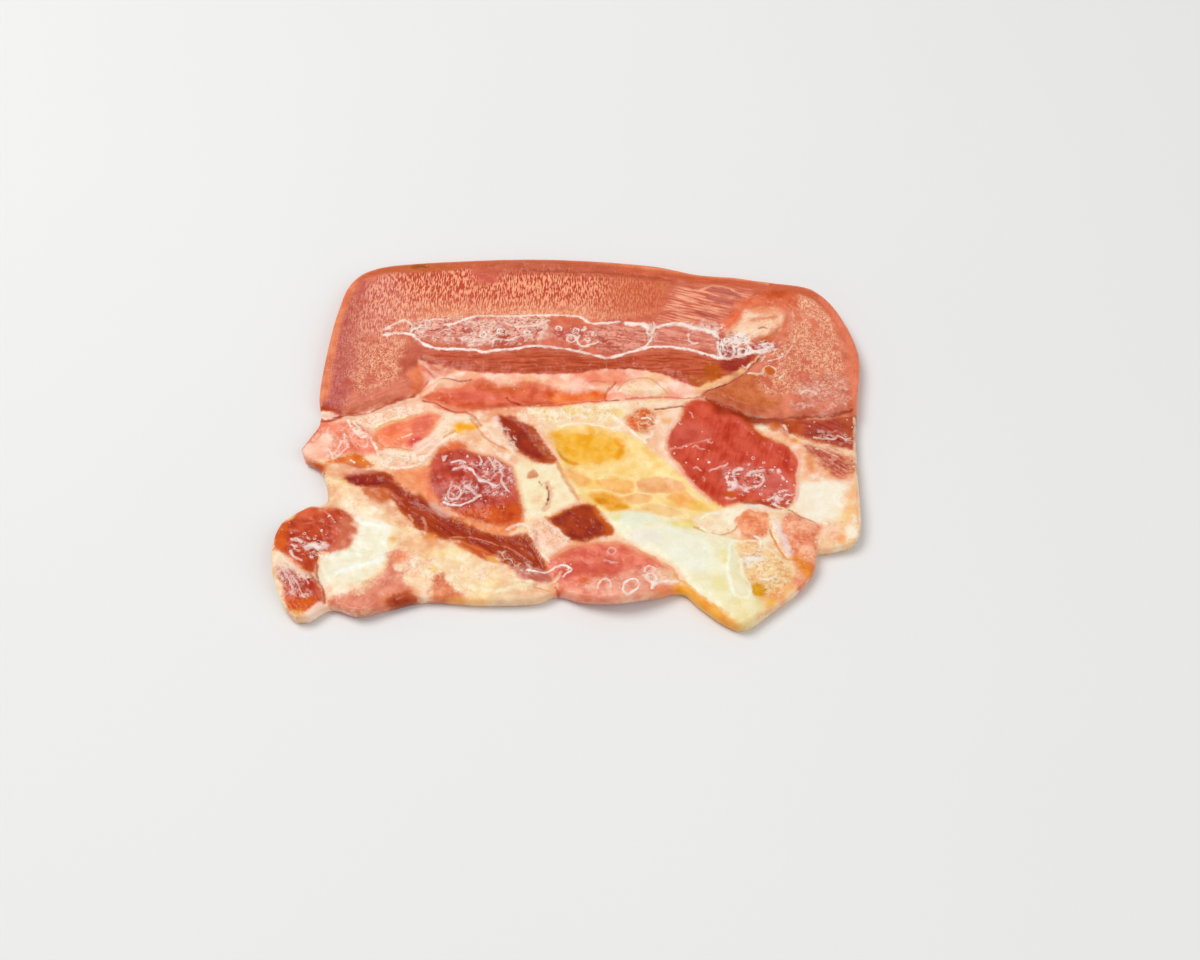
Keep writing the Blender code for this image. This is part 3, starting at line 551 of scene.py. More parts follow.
    # the golden edge of the white fat, down to its point
    Area((250, 148, 8), (255, 178, 46), [(28, -45.6), (31, -45.4), (35, -49.2), (40.6, -54), (44, -56),
         (46, -60), (38, -58), (30, -50)], 1.3, 0.5, 0.9),
    Area((240, 218, 150), (248, 234, 184), [(41, -52), (47, -49.6), (51.4, -51), (49, -56), (46, -59),
         (42, -56.6)], 3, 0.8, 0.75),
    # yellow tints in the pale band under the membrane strip
    Area((248, 204, 112), (254, 226, 160), [(-9, 12.8), (-6, 12.8), (-5.4, 10.8), (-8.6, 10.8)], 2.0, 0.8,
         0.7),
    Area((248, 204, 112), (254, 226, 160), [(-1, 13), (3, 13), (3.6, 10.8), (0, 10.4)], 2.0, 0.8, 0.7),
    Area((248, 196, 112), (254, 222, 160), [(7, 12), (10, 12), (10, 10), (7.6, 10)], 2.0, 0.8, 0.6),
]

BAND_BASE = [
    Area((198, 94, 74), (224, 124, 100), MUSCLE, 0.9, 0.35),
    Area((206, 104, 82), (232, 136, 108), BENT_TIP, 0.7, 0.25),
    # where the two run into each other, at the back
    Area((202, 96, 72), (230, 128, 98), [(58, 49), (58, 70), (74, 70), (74, 48), (66, 45)], 3.0, 0.4),
]

BAND_AREAS = [
    # darker outer left side, purple-red
    Area((176, 74, 76), (204, 102, 96), [(-68, 14), (-68, 28), (-66.4, 42), (-64, 54), (-60, 59),
         (-57.4, 48), (-58.6, 36), (-58.4, 24), (-60, 14)], 4.0, 1.0, 0.9, 80, 0.4),
    # pale middle, under the wet net
    Area((214, 120, 102), (244, 180, 162), [(-49, 41), (-44, 44), (-36, 45), (-24, 45.6), (-10, 45.6),
         (-6, 42), (-7, 37.6), (-14, 36), (-28, 35.6), (-38, 36.8), (-44, 39)], 3.0, 1.2, 0.9),
    # smooth leg of the band
    Area((206, 112, 90), (228, 138, 112), [(-66, 12), (-62, 20), (-52, 21), (-44, 24), (-41.6, 20),
         (-46, 16), (-54, 12), (-60, 11)], 5, 1.2, 0.75, 30, 0.6),
    Area((228, 112, 70), (242, 140, 98), [(-46.5, 18), (-45, 25), (-42, 28.4), (-40.6, 24), (-41.6, 18.4)],
         2.5, 0.6, 0.85),
    Area((182, 82, 66), (198, 100, 82), [(-48.6, 24), (-47.6, 34), (-45, 37), (-42, 34), (-40, 30.4),
         (-42.6, 30), (-45, 26)], 3, 0.8, 0.8),
    # dark brown lower part, under the wet line
    Area((170, 66, 44), (208, 100, 74), [(-46, 33), (-41.6, 31.8), (-42, 29.8), (-35, 27.4), (-24, 25.2),
         (-8, 24.9), (3, 25.4), (14, 26.8), (25, 25.2), (33, 21.6), (39, 20.1), (46, 23.2), (51, 27),
         (54.6, 31.4), (50, 31), (45, 29.7), (35, 32.5), (25, 34), (15, 31.3), (8, 31), (0, 33.2),
         (-10, 34.2), (-24, 32.8), (-36, 34)], 1.2, 0.4, 0.97, 0, 0.75),
    Area((200, 106, 84), (232, 146, 124), [(-42, 33.6), (-30, 32.6), (-16, 33.4), (-6, 33.6), (2, 32.6),
         (8, 31), (4, 29.4), (-8, 30), (-24, 30), (-38, 30.6)], 2.4, 1.2, 0.7, 2, 0.7),
    Area((204, 110, 84), (230, 140, 112), [(15, 31.6), (24, 33.6), (34, 32.6), (44, 29.8), (42, 28.6),
         (34, 30.4), (26, 31), (17, 29.8)], 2.0, 1.2, 0.45, -4, 0.7),
    # reddish middle, right of the net
    Area((200, 102, 88), (244, 172, 152), [(7, 43), (15, 43), (22, 42), (29, 42), (37, 40), (43, 37),
         (43.6, 31.4), (36, 33), (25, 34.4), (15, 31.8), (9, 33)], 2.4, 1.0, 0.85, -10, 0.8),
    # streaks that run towards the tip
    Area((206, 100, 80), (254, 178, 146), [(26, 46), (31, 56), (38, 59.6), (50, 57.6), (54, 53), (49, 49),
         (44.6, 45), (42, 41), (36, 42)], 9, 2.2, 0.95, -16, 1.0),
    Area((190, 100, 48), (216, 126, 76), [(22, 52), (22.6, 58), (25, 60.6), (28, 60), (28.6, 54), (27, 50),
         (24, 49)], 5, 1.8, 0.6),
    Area((202, 92, 66), (228, 122, 92), [(6, 62), (14, 62), (24, 60), (29, 54), (27, 47), (18, 45.6),
         (10, 47)], 8, 2.4, 0.7, 0, 0.8),
    Area((204, 92, 76), (222, 112, 94), [(-28.6, 58), (-28, 66), (-22, 66), (-20, 61), (-22, 58)], 2.5, 0.6,
         0.9),
    # fat patch in the bend
    Area((248, 186, 150), (255, 222, 192), [(45.6, 40), (48.6, 45), (51, 48.4), (56, 49.4), (61, 48.6),
         (63.6, 46), (62.6, 42.6), (59.6, 39.6), (56, 37.6), (52, 36.2), (48, 36.6)], 5.0, 2.4, 1.0, 25,
         0.4),
    Area((238, 98, 58), (250, 132, 90), [(42.6, 41), (45.4, 44), (47.6, 47.4), (51, 49), (50, 44),
         (46.4, 40.6)], 4.0, 1.2, 0.85, 50, 0.5),
    Area((228, 104, 64), (246, 138, 96), [(45, 50.4), (52, 53.6), (60, 53), (60.4, 50), (55, 48.8),
         (48, 48.4)], 5.0, 1.6, 0.65, -14, 0.5),
    Area((200, 84, 56), (222, 112, 82), [(58, 56.4), (64, 56.4), (67, 53.6), (65, 49), (63.6, 46.6),
         (61.4, 47.6), (61.4, 51), (59, 53.6)], 3.0, 1.2, 0.9),
    Area((214, 112, 84), (232, 134, 102), [(62.4, 46.6), (64.6, 46), (64, 41), (60.6, 37), (58.4, 35.6),
         (60, 40)], 3.2, 1.0, 0.7),
    Area((196, 90, 34), (214, 114, 56), [(53.6, 35.4), (58, 37.4), (60.6, 40), (59, 40.8), (56, 38.8),
         (53, 37.2)], 1.2, 0.4, 0.9),
    # the tip, bent back
    Area((234, 138, 108), (252, 176, 142), [(66, 51), (71, 50), (75, 43), (77, 33), (74, 24), (68, 26),
         (66, 36), (65.4, 44)], 5, 1, 0.85),
    Area((190, 92, 48), (214, 122, 76), [(38.6, 17.4), (44, 20), (50, 24.4), (57, 22), (60, 14), (56, 10.6),
         (50, 12.4), (44, 15)], 4, 0.9, 0.8),
    Area((204, 114, 94), (226, 140, 116), [(63, 11), (66, 18), (72, 22.4), (78, 21), (79, 14), (74, 10.2),
         (67, 9.8)], 4, 0.9, 0.85),
    Area((220, 118, 86), (238, 142, 108), [(64, 21), (64, 28), (71, 29), (71, 22)], 4, 1, 0.6),
]

RIM_AREAS = [
    Area((188, 88, 64), (208, 108, 84), [(-24, 62.4), (-24, 66.2), (0, 66.2), (12, 65.4), (16, 62.4),
         (26, 60.6), (36, 58.8), (46, 56.8), (56, 55.4), (54, 54.4), (44, 55.8), (34, 57.8), (20, 60.2),
         (4, 61.4), (-12, 62.2)], 2.0, 0.6, 0.8, 0, 0.6),
    # painted highlight along the rounded top edge of the rind
    Area((222, 122, 86), (244, 152, 112), [(4, 67.8), (20, 67.2), (30, 66), (38, 64), (50, 62.6),
         (58, 60.6), (57, 58.6), (48, 60), (38, 61.2), (30, 63), (20, 64.4), (8, 66)], 1.8, 0.4, 0.9, -8,
         0.7),
    Area((194, 86, 60), (218, 110, 80), [(13, 65.4), (26, 63.8), (38, 61.4), (50, 60), (60, 57.4),
         (59, 56.4), (48, 57.8), (38, 59.4), (28, 61.2), (15, 62.8)], 2.0, 0.5, 0.8, -8, 0.7),
    # bright skin down the left side
    Area((224, 120, 84), (240, 144, 104), [(-70.8, 16), (-70.4, 30), (-68.6, 47), (-66.2, 58), (-63, 61.4),
         (-63, 57), (-65, 48), (-66.2, 36), (-67, 24), (-67.2, 16)], 1.4, 0.4, 0.9),
    Area((188, 96, 50), (206, 112, 68), [(-60, 62), (-50, 65.8), (-38, 66), (-32, 65), (-38, 63),
         (-50, 63)], 2, 0.6, 0.7, 0, 0.6),
    Area((178, 84, 0), (198, 96, 6), [(38.6, 24), (39.4, 27.2), (42.6, 27), (43.4, 23.6), (41.4, 21.6)],
         2.4, 0.4, 0.85),
    Area((222, 118, 88), (240, 140, 110), [(76, 50), (80, 42), (83, 31), (81.6, 16), (79.6, 12), (79, 24),
         (79.4, 34), (77, 43), (72.6, 51)], 2, 0.3, 0.9, 80, 0.4),
    Area((198, 80, 46), (222, 108, 72), [(57, 54.5), (64, 54.5), (67, 51), (65, 47.6), (61, 48.6),
         (57.6, 51)], 2.6, 1.4, 0.9),
    Area((226, 116, 74), (244, 154, 110), [(53, 49.4), (60, 49.2), (63.6, 46.4), (60, 45.8), (54, 47)], 2.4,
         1.2, 0.7, 20, 0.6),
    Area((184, 88, 40), (206, 112, 64), [(34, 23.6), (38, 22.6), (41, 23.2), (40, 20.8), (36, 20.4)], 1.6,
         0.6, 0.9),
    Area((176, 88, 82), (194, 108, 100), [(41.4, 57.6), (46, 56.4), (50, 54), (50, 52.6), (45.6, 54.6),
         (41, 56)], 1.0, 0.3, 0.85, -22, 0.6),
    Area((178, 84, 80), (196, 106, 98), [(40.6, 54), (44.4, 53.4), (48, 51.2), (47.6, 49.8), (43.6, 51.4),
         (40.4, 52.6)], 1.0, 0.3, 0.8, -22, 0.6),
    Area((172, 70, 64), (194, 94, 84), [(37, 48.4), (41, 47.4), (44, 45.6), (42.4, 44.8), (38, 46)], 1.4,
         0.4, 0.7, -16, 0.8),
    Area((150, 46, 46), (172, 64, 62), [(43.8, 33.6), (46.4, 34), (50.4, 33), (49.6, 31.4), (46.4, 30.6),
         (44.4, 31.2)], 1.4, 0.4, 0.85),
    Area((146, 44, 46), (164, 58, 56), [(45, 29.2), (52, 30.6), (50, 26), (46, 24.8), (43, 27)], 2, 0.4,
         0.8, 20, 0.5),
    Area((172, 64, 44), (188, 80, 58), [(8.6, 38), (10.6, 37.6), (14.6, 34), (15.6, 32.6), (12.6, 32.6),
         (9.6, 35.4)], 1.4, 0.4, 0.85, -40, 0.6),
    Area((176, 66, 52), (194, 86, 70), [(-21.4, 40.6), (-18, 40.4), (-17.4, 37), (-20, 36.6)], 1.4, 0.5,
         0.85),
    Area((174, 68, 48), (192, 86, 64), [(-22, 36), (-15.6, 36), (-15, 34), (-21, 33.8)], 1.2, 0.4, 0.85, 0,
         0.5),
    Area((186, 82, 72), (204, 104, 92), [(-31, 41.6), (-28, 42), (-27.6, 39), (-30.4, 38.8)], 1.4, 0.5,
         0.8),
    Area((214, 106, 80), (230, 128, 102), [(-6, 45.6), (2.6, 45.4), (4.6, 43), (1, 41.6), (-5.4, 42)], 1.6,
         0.4, 0.85),
    Area((192, 80, 72), (208, 98, 90), [(-4, 41), (2, 40.6), (4.6, 38.4), (0, 37.4), (-3.6, 38)], 1.8, 0.6,
         0.8),
    Area((236, 176, 158), (252, 222, 206), [(-30, 39), (-26, 40), (-22, 39), (-21.6, 35.6), (-27, 35.4)],
         3.6, 1.8, 0.6),
    Area((238, 180, 162), (250, 222, 208), [(-11, 40.6), (-6, 42), (-4.6, 38.4), (-8.6, 36.4)], 3.2, 1.6,
         0.6),
    # painted highlight, a white glint where the band meets the fat patch
    Area((250, 228, 216), (255, 244, 234), [(46.6, 36.4), (48, 39), (51, 39.2), (52, 36.6), (50.6, 34.6),
         (48, 34.6)], 1.8, 1.2, 0.9),
    Area((238, 176, 158), (254, 228, 214), [(35, 42.6), (40, 44.2), (43, 42), (40, 40), (35, 40.4)], 2.4,
         1.6, 0.7),
    Area((196, 110, 106), (212, 134, 128), [(53.6, 34.8), (57.6, 35.6), (57.8, 33.8), (54, 33)], 0.9, 0.3,
         0.85),
    Area((200, 96, 24), (216, 118, 44), [(55.8, 25.6), (58, 26), (58.6, 24.4), (56.8, 23.8)], 0.9, 0.2,
         0.9),
    Area((206, 100, 52), (234, 142, 96), [(53, 45), (56.4, 46), (60.4, 46.2), (60.6, 44.8), (57, 44),
         (53.4, 43.8)], 1.4, 0.8, 0.75, 10, 0.7),
]

# Where pale strands show in the muscle: their angle, and how far they are worms rather than lace.
STRANDS = [
    Area((194, 74, 58), (254, 168, 134), [(-49, 46), (-50, 54), (-51, 62), (-38, 64.6), (-30, 64.2),
         (-27, 59), (-21, 59), (-19, 64), (0, 63.4), (9, 63), (13, 56), (12, 49), (0, 48), (-20, 48.5),
         (-38, 47.5)], 3.0, 1.4, 1.0, 90, 1.0),
    Area((200, 90, 64), (232, 132, 100), [(10, 62.4), (18, 61.4), (25, 59.4), (27, 55), (26, 50), (22, 47),
         (16, 46.4), (10, 47)], 6, 2.4, 0.8, 90, 0.85),
    Area((240, 138, 100), (255, 206, 170), [(-47, 44), (-40, 48.4), (-24, 49.4), (-6, 49.4), (8, 48.6),
         (14, 47), (15, 45), (8, 44.4), (-20, 45.6), (-38, 44.4)], 3.0, 1.6, 0.9, 90, 0.3),
    Area((190, 84, 76), (252, 174, 148), [(-61.5, 40), (-61.6, 50), (-59.6, 57.5), (-55.6, 62), (-51, 63),
         (-50, 52), (-50, 44), (-54, 38)], 3.5, 1.2, 0.95, 90, 0.8),
    Area((182, 80, 80), (208, 112, 104), [(-68, 14), (-68.6, 28), (-67, 42), (-64, 53), (-61.4, 52),
         (-61.6, 40), (-61.6, 26), (-61.6, 14)], 2.4, 1.0, 0.85, 90, 0.4),
    Area((206, 104, 80), (252, 184, 150), [(-61.6, 20), (-61.6, 30), (-61, 38), (-54, 38), (-49.6, 43),
         (-46.4, 38), (-48, 30), (-49, 22), (-56, 18)], 3.5, 1.2, 0.95, 90, 0.1),
    Area((232, 132, 102), (255, 208, 172), [(64, 50), (68, 53.4), (72, 50.4), (76, 43), (72, 37), (66, 40),
         (64.6, 46)], 4.0, 1.2, 0.9, 90, 0.1),
    Area((212, 108, 90), (255, 192, 164), [(-60, 41), (-59, 50), (-54, 54), (-46, 52), (-42, 47), (-46, 42),
         (-54, 39)], 5.0, 1.2, 0.9, 90, 0.6),
    Area((210, 106, 84), (250, 190, 154), [(66.5, 53), (72, 50), (76, 43), (78.4, 33), (78, 24), (75, 18),
         (66, 17), (58, 16), (54, 19), (56, 25), (59, 31), (62.4, 37), (65, 44), (65.5, 48)], 4.0, 1.2,
         0.85, 90, 0.1),
]

# Where the wet film has shrunk together: the painted shade in its gaps and the painted highlight on its
# ridges, its angle, and how far it is a crust rather than a net of loops.
PAINTED_FILM = [
    Area((164, 60, 56), (255, 226, 208), [(-47, 42), (-42, 44.8), (-36, 44.8), (-28, 45.4), (-18, 45.6),
         (-8, 45.6), (-6, 42), (-7, 38), (-11, 36), (-18, 35.4), (-28, 35.6), (-36, 36.6), (-42, 38)], 3.0,
         1.6, 1.0, 4, 0.4),
    Area((168, 64, 54), (252, 222, 204), [(-4, 42), (1, 41.6), (6, 41.4), (9.4, 38), (9, 35), (4, 34.8),
         (0, 36), (-4, 38)], 2.4, 1.0, 0.5, 0, 0.9),
    Area((172, 62, 50), (244, 172, 150), [(10, 42), (22, 41), (22, 35), (14, 33), (8, 34)], 4.0, 1.4, 0.7,
         -20, 0.8),
    Area((180, 72, 60), (252, 218, 202), [(21.4, 43), (25.4, 43), (25.6, 39), (24, 35.4), (21.6, 37)], 1.6,
         0.8, 0.8, 90, 0.3),
    Area((188, 80, 64), (236, 152, 128), [(27, 41), (35, 39.6), (42, 37.4), (42.6, 32), (36, 33.6),
         (28, 35)], 3.0, 1.0, 0.5, -12, 0.9),
    Area((190, 96, 84), (255, 232, 220), [(33.6, 42.4), (38, 44.4), (43, 43.6), (45, 41), (44, 38.6),
         (39, 39.6)], 2.4, 1.2, 0.85, 0, 0.5),
    Area((146, 48, 50), (255, 236, 226), [(43, 37.4), (47, 39.6), (52, 39), (56, 36.6), (60, 35.4),
         (57, 33), (52, 31), (45.4, 29.8), (43, 32)], 1.8, 0.8, 0.75, 0, 0.5),
    Area((192, 98, 84), (252, 214, 198), [(63, 11), (64, 18), (69, 23), (77, 23), (79.5, 15), (74, 10.2),
         (68, 9.6)], 4.0, 1.2, 0.6, 20, 0.6),
    Area((216, 112, 88), (255, 230, 212), [(-66, -2), (-65, 3), (-61, 7), (-56, 7), (-53, 2), (-56, -2),
         (-62, -5), (-66, -5)], 3, 1.2, 0.6, -50, 0.5),
    Area((232, 152, 112), (255, 236, 218), [(-62, 8), (-58, 11), (-51, 13.6), (-44, 14), (-44, 10),
         (-50, 8), (-57, 5)], 3, 1.2, 0.8, -20, 0.6),
    Area((160, 50, 46), (250, 216, 208), [(-31, -7), (-26, -7), (-20, -6), (-15.6, -9), (-15, -15),
         (-17, -18), (-23, -18), (-29, -20), (-33, -19.4), (-32, -14), (-26, -12.6), (-23, -10),
         (-28, -8.6)], 2.6, 1.2, 0.85, 40, 0.5),
    Area((150, 44, 32), (252, 226, 216), [(-72.4, -32), (-67, -32), (-62.6, -33.4), (-65.6, -37),
         (-70, -35.6)], 1.6, 1.0, 1.0, 0, 0.9),
    Area((150, 46, 40), (250, 216, 204), [(-74.6, -40.6), (-69, -42), (-65.6, -44.6), (-66, -49),
         (-71, -49), (-73.4, -46)], 2.2, 0.8, 0.9, -58, 0.6),
    Area((170, 50, 38), (250, 220, 210), [(43.6, -8), (54.4, -7.6), (56, -10), (52, -15), (44, -15.6)], 2.0,
         1.2, 0.95, 0, 0.9),
    Area((176, 56, 44), (250, 222, 214), [(53, -17), (58, -15), (60.6, -17), (59, -20.4), (54, -20)], 1.6,
         1.0, 0.95, 0, 0.95),
    Area((222, 122, 92), (255, 234, 216), [(2, -44), (4, -47), (10, -49), (15, -50), (20, -47), (28, -45.6),
         (26, -41.6), (20, -40.6), (16, -43), (9, -43.6)], 2.6, 1.0, 0.45, 0, 0.6),
    Area((214, 108, 72), (255, 210, 174), [(46, -24), (52, -23), (53, -30), (50, -33), (46, -31)], 2.4, 1.0,
         0.4, 0, 0.9),
    Area((222, 138, 74), (255, 238, 196), [(47, -33), (52, -34), (57, -38.6), (59, -43), (54, -49),
         (48, -44)], 2.4, 1.0, 0.75, 0, 0.6),
    Area((214, 104, 72), (254, 196, 164), [(57, -24), (66, -28), (66, -36), (61, -44), (59, -36)], 2.4, 1.0,
         0.5, 0, 0.8),
    Area((190, 66, 24), (255, 222, 182), [(16.6, 9.6), (20, 11.4), (24, 9.8), (24.4, 5.4), (20, 4.4),
         (17, 6.4)], 1.6, 0.6, 0.7, 0, 0.4),
    Area((238, 184, 112), (255, 244, 212), [(-14, 12), (-2, 13), (8, 14), (13, 12), (9, 8.6), (-4, 7.6),
         (-10, 9)], 2.4, 1.0, 0.85, 80, 0.4),
    Area((170, 70, 44), (250, 226, 206), [(-19, 6), (-16.6, 3), (-15, -0.6), (-13, -1.6), (-13.6, 1),
         (-16, 4.6)], 1.6, 1.0, 1.0, -50, 0.8),
    Area((140, 40, 36), (240, 190, 176), [(66, 4), (70, 5), (78, 4), (79, 0.8), (72, 0.4)], 2.0, 1.0, 0.8,
         -30, 0.7),
    Area((160, 54, 44), (240, 168, 148), [(66, -1), (72, -2), (78, -4.4), (78, -9), (72, -9.4), (68, -4.6)],
         2.4, 1.0, 0.7, -42, 0.7),
    Area((170, 70, 50), (248, 216, 196), [(-18.6, -35.6), (-13, -36.6), (-8, -40), (-9, -42), (-15, -40)],
         2.0, 1.0, 0.7, -24, 0.3),
    Area((196, 90, 54), (250, 214, 184), [(-36, -41.6), (-31, -43), (-31, -47), (-35, -46.6)], 2, 1.0, 0.35,
         70, 0.6),
    Area((216, 130, 100), (254, 226, 204), [(-52, -3), (-41, -3.6), (-38, -6), (-44, -8.6), (-51, -8)], 2.4,
         0.8, 0.5, 0, 0.6),
    Area((206, 100, 66), (255, 226, 206), [(55, 28), (60, 29.6), (64.4, 33), (64, 37), (60, 35.6),
         (56, 31.4)], 1.8, 0.8, 0.95, 30, 0.9),
    Area((232, 150, 124), (255, 228, 208), [(-14, -27), (-8, -27), (-3, -29), (-3, -35), (-7, -36),
         (-10, -31)], 2.4, 1.0, 0.45, -50, 0.5),
    Area((226, 140, 96), (255, 230, 196), [(-5.6, -26), (-3, -28), (-0.6, -30.6), (1, -32.6), (-2, -32),
         (-5, -29)], 1.6, 0.8, 0.85, -40, 0.9),
    Area((210, 120, 90), (252, 204, 180), [(-34, -37), (-40, -36), (-43, -32), (-46, -35), (-43, -42),
         (-38, -42)], 3, 1.4, 0.4, 50, 0.7),
]


def painted_glint_dots(colour, points, soft, strength):
    """Where painted glints stand as small bright dots on the wet film."""
    return Area(colour, colour, points, soft, 1.0, strength)


# Painted glints of the wet film, as small bright dots.
PAINTED_GLINT_DOTS = [
    painted_glint_dots((255, 244, 236), [(28, 4), (34, 8), (40, 2), (47, -3), (57, -4), (62, -9), (60.6, -20),
          (50, -18.6), (42, -19.6), (34, -12), (28, -3)], 3.0, 0.95),
    painted_glint_dots((255, 240, 232), [(-35, -3), (-27, -3), (-20, -5), (-15, -9), (-13.6, -17), (-19, -24),
          (-30, -22), (-37, -15), (-37, -8)], 3.0, 0.85),
    painted_glint_dots((255, 240, 230), [(-75, -26), (-66, -22), (-58, -25), (-58, -32), (-64, -36), (-68, -44),
          (-66, -52), (-71, -52), (-74, -42), (-76, -33)], 2.0, 0.7),
    painted_glint_dots((255, 232, 214), [(-40, 17.6), (-30, 20), (-20, 21), (-12, 20), (-4, 18), (-8, 15), (-20, 14.6),
          (-32, 13)], 2.0, 0.35),
    painted_glint_dots((255, 226, 206), [(-3, -39), (4, -34.6), (14, -34), (22, -38), (28, -44), (20, -47), (8, -47),
          (0, -45)], 2.4, 0.6),
    painted_glint_dots((255, 240, 216), [(46, -24), (53, -22), (60, -24), (66, -28), (65, -38), (61, -45), (54, -48),
          (48, -44), (46, -34)], 2.0, 0.7),
    painted_glint_dots((255, 246, 236), [(-66, 2), (-60, 8), (-52, 4), (-42, 7), (-37, 6), (-41, -3), (-50, -9),
          (-60, -8), (-66, -5)], 3.0, 0.6),
    painted_glint_dots((255, 232, 212), [(48, 24), (56, 26), (63, 34), (70, 40), (77, 34), (78, 16), (68, 12), (56, 16)],
          4.0, 0.35),
    painted_glint_dots((255, 240, 222), [(62, 7), (80, 8), (80, -10), (72, -10), (64, 0)], 2.0, 0.7),
]

